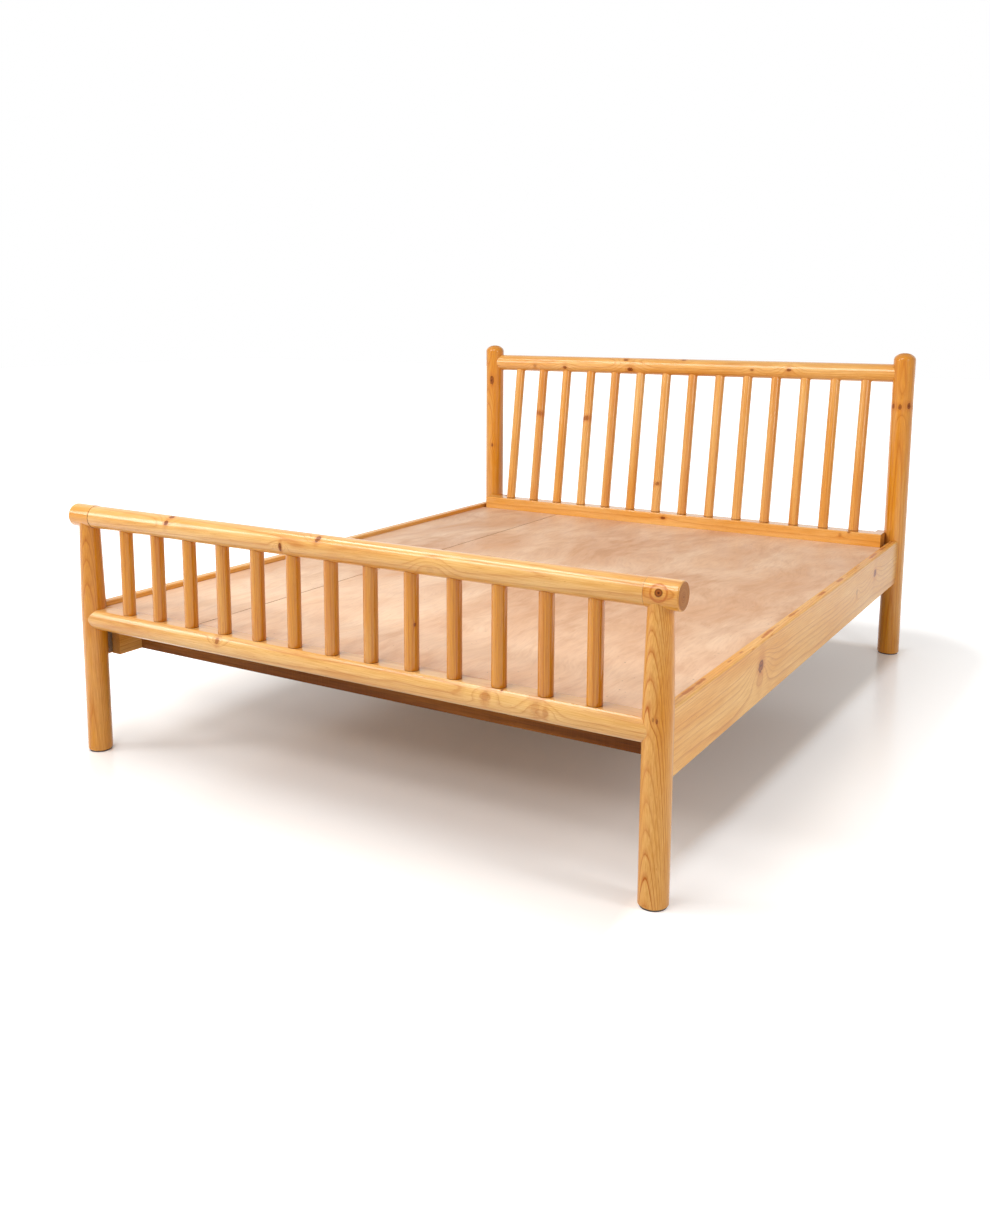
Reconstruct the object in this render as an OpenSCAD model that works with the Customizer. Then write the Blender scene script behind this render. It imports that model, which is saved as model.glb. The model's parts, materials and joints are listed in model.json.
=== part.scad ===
// Spindle bed of turned pine poles with a loose plywood deck.
// Millimetres. X runs across the bed, Y from the foot to the head, Z up.
// The origin is on the floor under the middle of the bed.

/* [Bed] */
// Distance across the bed between the post axes
bed_width = 1600; // [1500:10:1700]
// Distance along the bed between the axes of the foot and head top rails
bed_length = 2055; // [1990:5:2150]
// Height of the deck's upper face above the floor
deck_height = 386; // [370:1:400]
// Thickness of the plywood deck
deck_thickness = 12; // [9:1:15]
// Width of the wide deck panel, cut from one sheet
wide_panel_width = 1240; // [1100:5:1250]

/* [Posts] */
// Diameter of the foot posts
post_d = 63; // [61:0.5:66]
// Diameter of the foot posts just under the top rail
foot_post_neck_d = 52.5; // [48:0.5:56]
// Diameter of the head posts
head_post_d = 71; // [68:0.5:73]
// How far the head posts stand forward of the head top rail's axis
head_post_lead = 4; // [2:0.5:4]
// Height of the head posts above the floor
head_post_height = 1034; // [1010:1:1080]
// Height of the domed crown of the head posts
crown_height = 24; // [15:1:30]
// Thickness of the glide under each post
glide_thickness = 3; // [2:0.5:5]

/* [Footboard] */
// Height of the foot top rail's axis
foot_rail_height = 633.5; // [600:0.5:660]
// Diameter of the foot top rail
foot_rail_d = 58; // [56:0.5:60]
// Diameter of the caps at both ends of the foot top rail
foot_cap_d = 60; // [58:0.5:62]
// How far the caps reach past the post axes
foot_cap_reach = 46; // [42:1:60]
// Width of the foot lower rail, and diameter of its round front and belly
lower_rail_d = 60; // [58:1:62]
// Height of the foot lower rail under its planed top
lower_rail_height = 55; // [50:1:55]
// Number of foot spindles
foot_spindles = 13; // [9:1:14]
// Diameter of the foot spindles
foot_spindle_d = 33.5; // [28:0.5:34]
// Distance between the first and last foot spindle axes
foot_spindle_spread = 1328; // [1260:4:1348]

/* [Headboard] */
// Height of the head top rail's axis
head_rail_height = 966; // [940:1:985]
// Diameter of the head top rail
head_rail_d = 61; // [54:0.5:62]
// Height of the head lower rail above the deck
head_board_rise = 44; // [38:1:60]
// Thickness of the head lower rail from front to back
head_board_depth = 60; // [50:1:64]
// Distance from the head top rail's axis forward to the middle of the head lower rail
head_board_offset = 78; // [72:1:90]
// Gap between each end of the head lower rail and the side rail beside it
head_board_end_gap = 15; // [8:1:18]
// Number of head spindles
head_spindles = 14; // [9:1:15]
// Diameter of the head spindles
head_spindle_d = 34.5; // [28:0.5:35]
// Distance between the first and last head spindle axes
head_spindle_spread = 1356; // [1260:4:1360]

/* [Side rails and joists] */
// Height of the side rails
side_rail_height = 144; // [136:1:146]
// Thickness of the side rails
side_rail_thickness = 27; // [24:1:30]
// How far the side rails stand above the deck
side_rail_rise = 13; // [10:1:16]
// Thickness of the joist cleats
cleat_thickness = 30; // [26:1:34]
// Height of the joist cleats
cleat_height = 70; // [64:1:74]
// Number of cross joists
joists = 5; // [4:1:6]
// Thickness of the cross joists
joist_thickness = 38; // [34:1:42]
// Distance from the foot post axes to the first joist's front face
first_joist_front = 121; // [90:1:125]

/* [Hidden] */
$fn = 96;
FOOT_SPINDLE_NODES = [for (i = [1:foot_spindles]) str("foot_spindle_", i < 10 ? "0" : "", i)];
HEAD_SPINDLE_NODES = [for (i = [1:head_spindles]) str("head_spindle_", i < 10 ? "0" : "", i)];
JOIST_NODES = [for (i = [1:joists]) str("cross_joist_", i)];

// Colours of the finished materials
PINE = "#E3AE66";
PINE_LIGHT = "#ECC285";
PLYWOOD = "#CFA083";
HARDWOOD = "#8A5A35";
ZINC = "#B9BCC0";
GLIDE = "#2E2A28";

// Room between pieces that are glued or dropped together
fit_gap = 0.1;
// Room round the deck panels, which lie loose
panel_gap = 1.5;
// Width of the seam between the two deck panels
panel_seam = 3;

// Places worked out from the driving dimensions
post_x = bed_width / 2;
foot_y = -bed_length / 2;
head_y = bed_length / 2;
head_post_y = head_y - head_post_lead;
deck_under = deck_height - deck_thickness;
lower_rail_top = deck_height + 2;
lower_rail_bottom = lower_rail_top - lower_rail_height;
lower_rail_axis = lower_rail_bottom + lower_rail_d / 2;
rail_seam_x = post_x - foot_post_neck_d / 2 - 1.5;
rail_top = deck_height + side_rail_rise;
rail_bottom = rail_top - side_rail_height;
rail_inner_x = post_x - 9;
rail_x = rail_inner_x + side_rail_thickness / 2;
cleat_inner_x = rail_inner_x - cleat_thickness;
cleat_top = rail_bottom + cleat_height;
board_y = head_y - head_board_offset;
board_top = deck_height + head_board_rise;
board_front = board_y - head_board_depth / 2;
board_back = board_y + head_board_depth / 2;
rake = atan(head_board_offset / (head_rail_height - board_top));
// Length of a head spindle's axis, from the lower rail's top to the top rail's axis
rake_length = (head_rail_height - board_top) / cos(rake);
panel_front = foot_y + max(lower_rail_d, foot_cap_d) / 2 + 1;
panel_back = board_front - panel_gap;
joist_first_y = foot_y + first_joist_front + joist_thickness / 2;
joist_last_y = board_front - 4;
joist_step = (joist_last_y - joist_first_y) / (joists - 1);

// Joints between the poles: tenon diameters and lengths
post_tenon_d = 34;
post_tenon_depth = 24;
rail_tenon_d = 36;
rail_tenon_depth = 28;
cap_spigot_d = 30;
cap_spigot_length = 40;
spindle_tenon_d = 20;
spindle_tenon_depth = 20;
head_spindle_tenon_depth = 16;

// Bed rail fasteners
plate_thickness = 2.5;
plate_width = 22;
plate_inset = 12;
plate_x = rail_inner_x + plate_inset;
plate_height = 104;
plate_bottom = rail_bottom + 5;
plate_mid = plate_bottom + plate_height / 2;
plate_seat_depth = 3.5;
post_flat = post_d / 2 - plate_seat_depth;
bracket_seat = post_flat + plate_thickness + fit_gap;
rail_end = bracket_seat + plate_thickness + fit_gap;
bracket_leg = 12;
hook_thickness = 3;
hook_height = 24;
hook_reach = 12;
hook_heights = [plate_bottom + 30, plate_bottom + plate_height - 30];
slot_height = 30;
screw_d = 5;
screw_head_d = 9;
screw_length = 24;
leg_screw_length = 16;
plate_screw_heights = [plate_bottom + 6, plate_bottom + plate_height - 6];
leg_screw_heights = [plate_bottom + 32, plate_bottom + plate_height - 32];
joist_screw_d = 5;
joist_screw_head_d = 10;
joist_screw_length = 70;
joist_screw_head = (joist_screw_head_d - joist_screw_d) / 2;
joist_screw_sink = 0.5;
joist_screw_x = rail_inner_x - cleat_thickness / 2;
joist_half = rail_inner_x - 0.5;
cleat_end = bracket_seat + plate_thickness + bracket_leg + 1;
// How much nearer the middle the head posts' faces are than the foot posts'
head_end_shift = head_post_lead + (head_post_d - post_d) / 2;
side_rail_length = bed_length - 2 * rail_end - head_end_shift;
panel_seam_x = rail_inner_x - panel_gap - wide_panel_width;

// Blocks behind the head lower rail
block_width = 34;
block_height = 42;
block_lap = 14;
block_x = rail_inner_x - head_board_end_gap - 2 - block_width;
block_bottom = deck_height - 3;

// Shaping of the pieces: bevels, eased edges and the curves of the posts
foot_bevel = 3;
waist_steps = 8;
waist_power = 1.25;
crown_steps = 10;
crown_power = 2.1;
cap_ease = 4;
cap_bevel = 1;
lower_rail_ease = 3;
spindle_ease = 1.2;
board_ease = 4;
side_rail_ease = 4;

// Points of an arc from one angle to another
function arc(centre, radius, from, to, steps) =
    [for (i = [0:steps]) let (a = from + (to - from) * i / steps)
        centre + radius * [cos(a), sin(a)]];

// A rectangle about the origin with its four edges eased to a radius
function eased_rectangle(width, height, radius, steps = 4) =
    let (x = width / 2 - radius, y = height / 2 - radius)
    concat(arc([x, y], radius, 0, 90, steps), arc([-x, y], radius, 90, 180, steps),
           arc([-x, -y], radius, 180, 270, steps), arc([x, -y], radius, 270, 360, steps));

// Evenly spaced places from one side of the bed to the other
function spread_x(i, count, spread) = -spread / 2 + spread * i / (count - 1);

// A cylinder along X, centred on the origin
module rod_x(length, d) {
    rotate([0, 90, 0]) cylinder(h = length, d = d, center = true);
}

// An outline in the XZ plane drawn out along Y
module bar_y(points, length) {
    rotate([90, 0, 0]) linear_extrude(height = length, center = true) polygon(points);
}

// An outline in the YZ plane drawn out along X
module bar_x(points, length) {
    rotate([90, 0, 90]) linear_extrude(height = length, center = true) polygon(points);
}

// Draws its children as they are on the right, or mirrored for the left side
module on_side(side) {
    if (side > 0) children();
    else mirror([1, 0, 0]) children();
}

// Draws its children at the foot end, or mirrored for the thicker posts of the head end
module at_end(end) {
    if (end < 0) children();
    else translate([0, -head_end_shift, 0]) mirror([0, 1, 0]) children();
}

// ---- Posts ------------------------------------------------------------------------------

// Radius of a foot post at a height: straight to the lower rail, then drawn in towards the neck
function foot_post_radius(z) =
    let (t = max(0, z - lower_rail_top) / (foot_rail_height - foot_rail_d / 2 - lower_rail_top))
    post_d / 2 - (post_d - foot_post_neck_d) / 2 * pow(min(t, 1), waist_power);

// Half outline of a foot post up to the top rail's axis, for turning
function foot_post_profile() =
    let (r = post_d / 2, neck = foot_rail_height - foot_rail_d / 2)
    concat([[0, glide_thickness], [r - foot_bevel, glide_thickness], [r, glide_thickness + foot_bevel]],
           [for (i = [0:waist_steps])
               let (z = lower_rail_top + (neck - lower_rail_top) * i / waist_steps)
               [foot_post_radius(z), z]],
           [[foot_post_neck_d / 2, foot_rail_height], [0, foot_rail_height]]);

// Half outline of a head post with its domed crown, for turning
function head_post_profile() =
    let (r = head_post_d / 2, base = head_post_height - crown_height)
    concat([[0, glide_thickness], [r - foot_bevel, glide_thickness], [r, glide_thickness + foot_bevel]],
           [for (i = [0:crown_steps])
               let (a = 90 * i / crown_steps)
               [r * pow(cos(a), 2 / crown_power), base + crown_height * pow(sin(a), 2 / crown_power)]]);

// The flat, the hook pocket and the pilot holes that seat a plate on a post, about the post's axis
module plate_seat(d) {
    flat = d / 2 - plate_seat_depth;
    translate([-d / 2, flat, plate_bottom - fit_gap]) cube([d, d / 2, plate_height + 2 * fit_gap]);
    for (z = hook_heights)
        translate([plate_x - post_x, flat - hook_reach / 2, z])
            cube([hook_thickness + 4, hook_reach + 4, slot_height + 4], center = true);
    for (z = plate_screw_heights)
        translate([plate_x - post_x, flat, z]) rotate([90, 0, 0])
            cylinder(h = screw_length + 1, d = screw_d + 2 * fit_gap);
}

module foot_post(side) {
    color(PINE)
    on_side(side) translate([post_x, foot_y, 0])
    union() {
        difference() {
            rotate_extrude() polygon(foot_post_profile());
            translate([0, 0, foot_rail_height]) rod_x(post_d * 2, foot_cap_d + 2 * fit_gap);
            translate([-post_d / 2, 0, lower_rail_axis])
                rod_x(2 * (rail_tenon_depth + 1), rail_tenon_d + 2 * fit_gap);
            plate_seat(post_d);
        }
        translate([0, 0, foot_rail_height - foot_cap_d / 2 - 4])
            cylinder(h = post_tenon_depth + 4, d = post_tenon_d);
    }
}

module head_post(side) {
    color(PINE)
    on_side(side) translate([post_x, head_post_y, 0])
    difference() {
        rotate_extrude() polygon(head_post_profile());
        translate([-head_post_d / 2, head_post_lead, head_rail_height])
            rod_x(2 * (rail_tenon_depth + 1), rail_tenon_d + 2 * fit_gap);
        mirror([0, 1, 0]) plate_seat(head_post_d);
    }
}

module post_glides() {
    color(GLIDE)
    for (x = [-post_x, post_x], post = [[foot_y, post_d], [head_post_y, head_post_d]])
        translate([x, post[0], 0]) cylinder(h = glide_thickness, d = post[1] - 2 * foot_bevel - 1);
}

// ---- Footboard --------------------------------------------------------------------------

module foot_top_rail() {
    color(PINE)
    translate([0, foot_y, foot_rail_height])
    difference() {
        rod_x(2 * rail_seam_x, foot_rail_d);
        for (i = [0:foot_spindles - 1])
            translate([spread_x(i, foot_spindles, foot_spindle_spread), 0, -foot_rail_d / 2 - 1])
                cylinder(h = spindle_tenon_depth + 3, d = spindle_tenon_d + 2 * fit_gap);
        for (side = [-1, 1])
            translate([side * rail_seam_x, 0, 0])
                rod_x(2 * (cap_spigot_length + 1), cap_spigot_d + 2 * fit_gap);
    }
}

// Half outline of a rail cap: turned about the rail's axis, with a spigot and a rounded end
function cap_profile() =
    let (r = foot_cap_d / 2, end = post_x + foot_cap_reach - rail_seam_x)
    concat([[0, -cap_spigot_length], [cap_spigot_d / 2, -cap_spigot_length],
            [cap_spigot_d / 2, fit_gap], [r - cap_bevel, fit_gap], [r, cap_bevel + fit_gap]],
           arc([r - cap_ease, end - cap_ease], cap_ease, 0, 90, 5),
           [[0, end]]);

module foot_rail_cap(side) {
    color(PINE)
    on_side(side)
    difference() {
        translate([rail_seam_x, foot_y, foot_rail_height]) rotate([0, 90, 0])
            rotate_extrude() polygon(cap_profile());
        translate([post_x, foot_y, foot_rail_height - foot_cap_d / 2 - 1])
            cylinder(h = post_tenon_depth + 2, d = post_tenon_d + 2 * fit_gap);
    }
}

// Section of the foot lower rail: round in front and below, flat on top and towards the deck
function lower_rail_section() =
    let (r = lower_rail_d / 2, e = lower_rail_ease, top = lower_rail_top - lower_rail_axis,
         flat = sqrt(pow(r - e, 2) - pow(top - e, 2)), turn = atan2(top - e, flat))
    concat(arc([r - e, top - e], e, 0, 90, 4),
           arc([-flat, top - e], e, 90, 180 - turn, 3),
           arc([0, 0], r, 188 - turn, 360, 27));

module foot_lower_rail() {
    color(PINE)
    translate([0, foot_y, lower_rail_axis])
    union() {
        difference() {
            bar_x(lower_rail_section(), bed_width);
            for (side = [-1, 1])
                translate([side * post_x, 0, -lower_rail_height])
                    cylinder(h = 3 * lower_rail_height, d = post_d + 2 * fit_gap);
            for (i = [0:foot_spindles - 1])
                translate([spread_x(i, foot_spindles, foot_spindle_spread), 0,
                           lower_rail_top - lower_rail_axis - spindle_tenon_depth - 1])
                    cylinder(h = spindle_tenon_depth + 2, d = spindle_tenon_d + 2 * fit_gap);
        }
        for (side = [-1, 1])
            translate([side * (post_x - post_d / 2), 0, 0])
                rod_x(2 * rail_tenon_depth, rail_tenon_d);
    }
}

module foot_spindle(i) {
    shoulder = lower_rail_top + fit_gap;
    r = foot_spindle_d / 2;
    color(PINE)
    translate([spread_x(i, foot_spindles, foot_spindle_spread), foot_y, 0])
    union() {
        difference() {
            rotate_extrude() polygon([[0, shoulder], [r - spindle_ease, shoulder],
                [r, shoulder + spindle_ease], [r, foot_rail_height], [0, foot_rail_height]]);
            translate([0, 0, foot_rail_height]) rod_x(4 * r, foot_rail_d + 2 * fit_gap);
        }
        translate([0, 0, lower_rail_top - spindle_tenon_depth])
            cylinder(h = spindle_tenon_depth + 5, d = spindle_tenon_d);
        translate([0, 0, foot_rail_height - foot_rail_d / 2 - 5])
            cylinder(h = spindle_tenon_depth + 5, d = spindle_tenon_d);
    }
}

// ---- Headboard --------------------------------------------------------------------------

// Places its children at a head spindle's foot, with +Z along the raked spindle
module at_head_spindle(i) {
    translate([spread_x(i, head_spindles, head_spindle_spread), board_y, board_top])
        rotate([-rake, 0, 0]) children();
}

module head_top_rail() {
    color(PINE)
    difference() {
        translate([0, head_y, head_rail_height])
        union() {
            difference() {
                rod_x(bed_width, head_rail_d);
                for (side = [-1, 1])
                    translate([side * post_x, -head_post_lead, -head_rail_d])
                        cylinder(h = 2 * head_rail_d, d = head_post_d + 2 * fit_gap);
            }
            for (side = [-1, 1])
                translate([side * (post_x - head_post_d / 2), 0, 0])
                    rod_x(2 * rail_tenon_depth, rail_tenon_d);
        }
        for (i = [0:head_spindles - 1])
            at_head_spindle(i)
                translate([0, 0, rake_length - head_rail_d / 2 - 4])
                    cylinder(h = head_spindle_tenon_depth + 5, d = spindle_tenon_d + 2 * fit_gap);
    }
}

module head_lower_rail() {
    color(PINE_LIGHT)
    difference() {
        translate([0, board_y, (board_top + deck_under) / 2])
            bar_x(eased_rectangle(head_board_depth, board_top - deck_under, board_ease),
                  2 * (rail_inner_x - head_board_end_gap));
        for (i = [0:head_spindles - 1])
            at_head_spindle(i)
                translate([0, 0, -spindle_tenon_depth - 1])
                    cylinder(h = 2 * spindle_tenon_depth, d = spindle_tenon_d + 2 * fit_gap);
    }
}

module head_spindle(i) {
    r = head_spindle_d / 2;
    color(PINE)
    union() {
        difference() {
            at_head_spindle(i)
                translate([0, 0, -r]) cylinder(h = rake_length + r, d = head_spindle_d);
            translate([-bed_width, board_y - 2 * head_board_depth, board_top + fit_gap - 4 * r])
                cube([2 * bed_width, 4 * head_board_depth, 4 * r]);
            translate([0, head_y, head_rail_height]) rod_x(2 * bed_width, head_rail_d + 2 * fit_gap);
        }
        at_head_spindle(i)
            translate([0, 0, -spindle_tenon_depth])
                cylinder(h = spindle_tenon_depth + 8, d = spindle_tenon_d);
        at_head_spindle(i)
            translate([0, 0, rake_length - head_rail_d / 2 - 8])
                cylinder(h = head_spindle_tenon_depth + 8, d = spindle_tenon_d);
    }
}

// Blocks that carry the head lower rail from the head posts, coped round the posts' inner sides
module head_rail_blocks() {
    length = head_post_y + block_lap - board_back;
    color(PINE)
    for (side = [-1, 1]) on_side(side)
        difference() {
            translate([block_x, board_back + fit_gap, block_bottom])
                cube([block_width, length, block_height]);
            translate([post_x, head_post_y, 0])
                cylinder(h = head_post_height, d = head_post_d + 2 * fit_gap);
        }
}

// ---- Side rails, joists and deck --------------------------------------------------------

module side_rail(side) {
    color(PINE_LIGHT)
    on_side(side)
    difference() {
        translate([rail_x, -head_end_shift / 2, (rail_top + rail_bottom) / 2])
            bar_y(eased_rectangle(side_rail_thickness, side_rail_height, side_rail_ease), side_rail_length);
        for (end = [-1, 1]) at_end(end)
            for (z = leg_screw_heights)
                translate([rail_inner_x - 1, foot_y + rail_end + bracket_leg / 2, z])
                    rotate([0, 90, 0]) cylinder(h = leg_screw_length + 1, d = screw_d + 2 * fit_gap);
    }
}

module joist_cleat(side) {
    color(PINE)
    on_side(side)
    difference() {
        translate([cleat_inner_x, foot_y + cleat_end, rail_bottom])
            cube([cleat_thickness - fit_gap, bed_length - 2 * cleat_end - head_end_shift, cleat_height]);
        for (i = [0:joists - 1])
            translate([joist_screw_x, joist_first_y + i * joist_step, deck_under - joist_screw_length - 1])
                cylinder(h = joist_screw_length, d = joist_screw_d + 2 * fit_gap);
    }
}

// A joist: its ends are notched over the cleats, so that its underside is level with the rails
module cross_joist(i) {
    sink_height = joist_screw_head + joist_screw_sink + 1;
    color(HARDWOOD)
    translate([0, joist_first_y + i * joist_step, 0])
    difference() {
        translate([-joist_half, -joist_thickness / 2, rail_bottom])
            cube([2 * joist_half, joist_thickness, deck_under - rail_bottom]);
        for (side = [-1, 1]) on_side(side) {
            translate([cleat_inner_x - 0.5, -joist_thickness, rail_bottom - 1])
                cube([cleat_thickness + 2, 2 * joist_thickness, cleat_height + 1]);
            translate([joist_screw_x, 0, cleat_top - 1])
                cylinder(h = joist_thickness * 2, d = joist_screw_d + 2 * fit_gap);
            translate([joist_screw_x, 0, deck_under - joist_screw_head - joist_screw_sink])
                cylinder(h = sink_height, r1 = joist_screw_d / 2 + fit_gap,
                         r2 = joist_screw_d / 2 + fit_gap + sink_height);
        }
    }
}

module joist_screws() {
    color(ZINC)
    for (side = [-1, 1], i = [0:joists - 1])
        translate([side * joist_screw_x, joist_first_y + i * joist_step, deck_under - joist_screw_sink])
            mirror([0, 0, 1]) countersunk_screw(joist_screw_length, joist_screw_d, joist_screw_head_d);
}

// A plywood sheet between two places across the bed, notched round the foot posts
module deck_panel(from_x, to_x) {
    color(PLYWOOD)
    difference() {
        translate([from_x, panel_front, deck_under])
            cube([to_x - from_x, panel_back - panel_front, deck_thickness]);
        for (side = [-1, 1]) on_side(side)
            translate([post_x - post_d / 2 - 3, foot_y, deck_under - 1])
                cube([post_d, post_d / 2 + panel_gap, deck_thickness + 2]);
    }
}

// ---- Bed rail fasteners -----------------------------------------------------------------

// Slotted plate let into a post
module post_plate(side, end) {
    color(ZINC)
    on_side(side) at_end(end)
    translate([plate_x, foot_y + post_flat + plate_thickness / 2, plate_mid])
    difference() {
        cube([plate_width, plate_thickness, plate_height], center = true);
        for (z = hook_heights)
            translate([0, 0, z - plate_mid])
                cube([hook_thickness + 1, plate_thickness + 2, slot_height], center = true);
        for (z = plate_screw_heights)
            translate([0, 0, z - plate_mid]) rotate([90, 0, 0]) {
                cylinder(h = plate_thickness + 2, d = screw_d + 2 * fit_gap, center = true);
                translate([0, 0, -plate_thickness / 2 - 0.01])
                    cylinder(h = 2.01, d1 = screw_head_d + 2 * fit_gap, d2 = screw_d + 2 * fit_gap);
            }
    }
}

// Side view of a hook: it passes through its slot and turns down behind the post plate
function hook_outline() =
    let (out = hook_reach, neck = plate_thickness + 0.8, top = hook_height / 2, low = -hook_height / 2)
    [[0, top], [-neck, top], [-out, top - 8], [-out, low - 2], [-neck, low + 2],
     [-neck, low + 8], [0, low + 8]];

// Angle bracket on a side rail's end, with two hooks towards the post
module rail_bracket(side, end) {
    color(ZINC)
    on_side(side) at_end(end)
    translate([plate_x, foot_y + bracket_seat, plate_mid])
    difference() {
        union() {
            translate([-plate_inset - plate_thickness, 0, -plate_height / 2])
                cube([plate_width + plate_thickness + 1, plate_thickness, plate_height]);
            translate([-plate_inset - plate_thickness, 0, -plate_height / 2])
                cube([plate_thickness - fit_gap, plate_thickness + bracket_leg, plate_height]);
            for (z = hook_heights)
                translate([0, 0, z - plate_mid]) bar_x(hook_outline(), hook_thickness);
        }
        for (z = leg_screw_heights)
            translate([-plate_inset, bracket_leg / 2 + rail_end - bracket_seat, z - plate_mid])
                rotate([0, 90, 0]) {
                    cylinder(h = 3 * plate_thickness, d = screw_d + 2 * fit_gap, center = true);
                    translate([0, 0, -plate_thickness - 0.01])
                        cylinder(h = 2.01, d1 = screw_head_d + 2 * fit_gap, d2 = screw_d + 2 * fit_gap);
                }
    }
}

// Countersunk screw: the head's face is at the origin and the point runs along +Z
module countersunk_screw(length, shank_d, head_d) {
    rotate_extrude() polygon([[0, 0], [head_d / 2, 0], [shank_d / 2, (head_d - shank_d) / 2],
        [shank_d / 2, length - shank_d], [0, length]]);
}

// Screws of the post plates and rail brackets
module bracket_screws() {
    color(ZINC)
    for (side = [-1, 1], end = [-1, 1]) on_side(side) at_end(end) {
        for (z = plate_screw_heights)
            translate([plate_x, foot_y + post_flat + plate_thickness, z])
                rotate([90, 0, 0]) countersunk_screw(screw_length, screw_d, screw_head_d);
        for (z = leg_screw_heights)
            translate([rail_inner_x - plate_thickness, foot_y + rail_end + bracket_leg / 2, z])
                rotate([0, 90, 0]) countersunk_screw(leg_screw_length, screw_d, screw_head_d);
    }
}

// ---- Assembly ---------------------------------------------------------------------------

foot_post(-1);  // foot_post_left
foot_post(1);  // foot_post_right
foot_top_rail();
foot_rail_cap(-1);  // foot_rail_cap_left
foot_rail_cap(1);  // foot_rail_cap_right
foot_lower_rail();
head_post(-1);  // head_post_left
head_post(1);  // head_post_right
head_top_rail();
head_lower_rail();
head_rail_blocks();
side_rail(-1);  // side_rail_left
side_rail(1);  // side_rail_right
joist_cleat(-1);  // joist_cleat_left
joist_cleat(1);  // joist_cleat_right
deck_panel(panel_seam_x, rail_inner_x - panel_gap);  // deck_panel_wide
deck_panel(-rail_inner_x + panel_gap, panel_seam_x - panel_seam);  // deck_panel_narrow
rail_bracket(-1, -1);  // rail_bracket_foot_left
rail_bracket(1, -1);  // rail_bracket_foot_right
rail_bracket(-1, 1);  // rail_bracket_head_left
rail_bracket(1, 1);  // rail_bracket_head_right
post_plate(-1, -1);  // post_plate_foot_left
post_plate(1, -1);  // post_plate_foot_right
post_plate(-1, 1);  // post_plate_head_left
post_plate(1, 1);  // post_plate_head_right
bracket_screws();
joist_screws();
post_glides();
for (i = [0:foot_spindles - 1])
    foot_spindle(i);
for (i = [0:head_spindles - 1])
    head_spindle(i);
for (i = [0:joists - 1])
    cross_joist(i);
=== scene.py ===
"""Looks of a varnished pine spindle bed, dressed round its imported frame.

The frame gives every piece its place and size. This script turns the two rows of spindles as
finished pieces, gives each pole and board its own cut of timber, and lights the bed.
"""

from __future__ import annotations

import json
import logging
import math
from dataclasses import dataclass, field
from enum import Enum
from typing import Callable, ClassVar, Mapping, Sequence, Union

import bmesh
import bpy
from mathutils import Euler, Matrix, Vector

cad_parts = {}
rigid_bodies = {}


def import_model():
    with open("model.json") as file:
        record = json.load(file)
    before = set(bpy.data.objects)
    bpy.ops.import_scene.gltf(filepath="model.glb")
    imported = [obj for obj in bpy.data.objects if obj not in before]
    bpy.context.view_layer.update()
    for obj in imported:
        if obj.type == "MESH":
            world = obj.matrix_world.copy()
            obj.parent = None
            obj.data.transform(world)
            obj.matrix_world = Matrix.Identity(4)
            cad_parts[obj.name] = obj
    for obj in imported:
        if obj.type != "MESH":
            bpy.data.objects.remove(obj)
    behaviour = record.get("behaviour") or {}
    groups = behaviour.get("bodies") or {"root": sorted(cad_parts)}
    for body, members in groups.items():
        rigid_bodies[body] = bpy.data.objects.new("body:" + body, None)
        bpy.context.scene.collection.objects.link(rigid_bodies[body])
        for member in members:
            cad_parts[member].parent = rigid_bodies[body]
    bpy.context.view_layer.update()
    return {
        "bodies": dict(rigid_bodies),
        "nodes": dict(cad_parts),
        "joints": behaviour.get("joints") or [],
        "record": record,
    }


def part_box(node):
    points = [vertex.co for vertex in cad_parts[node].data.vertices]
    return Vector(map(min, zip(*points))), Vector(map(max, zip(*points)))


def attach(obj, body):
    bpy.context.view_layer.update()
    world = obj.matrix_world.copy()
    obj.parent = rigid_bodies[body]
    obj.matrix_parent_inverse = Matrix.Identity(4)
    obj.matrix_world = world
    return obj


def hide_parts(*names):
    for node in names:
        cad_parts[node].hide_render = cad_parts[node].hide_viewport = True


LOG = logging.getLogger("spindle_bed")
MM = 0.001

Colour = tuple[float, float, float, float]
Triple = tuple[float, float, float]
Span = tuple[float, float]
Feed = Union["Signal", Sequence[float], float, int, bool, str, None]

WHITE: Colour = (1.0, 1.0, 1.0, 1.0)


def srgb(code: str) -> Colour:
    """Turns a screen colour into the linear colour that a shader takes.

    Args:
        code: The colour as six hexadecimal digits, with or without a hash.

    Returns:
        Linear red, green, blue and full alpha.
    """
    digits = code.lstrip("#")
    screen = [int(digits[i:i + 2], 16) / 255 for i in (0, 2, 4)]
    linear = [c / 12.92 if c <= 0.04045 else ((c + 0.055) / 1.055) ** 2.4 for c in screen]
    return (linear[0], linear[1], linear[2], 1.0)


# ---- Node benches -------------------------------------------------------------------------


class Kind(Enum):
    """Kinds of socket that a node group can have."""

    GEOMETRY = "NodeSocketGeometry"
    FLOAT = "NodeSocketFloat"
    INT = "NodeSocketInt"
    VECTOR = "NodeSocketVector"
    MATERIAL = "NodeSocketMaterial"


def joined_by(operation: str, flipped: bool = False) -> Callable[["Signal", Feed], "Signal"]:
    """Makes an operator that joins a signal and another value by a Math node.

    Args:
        operation: The node's operation.
        flipped: Whether the other value comes first.

    Returns:
        The operator.
    """

    def operator(signal: "Signal", other: Feed) -> "Signal":
        """Adds the node."""
        pair = (other, signal) if flipped else (signal, other)
        return signal.bench.math(operation, *pair)

    return operator


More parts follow.
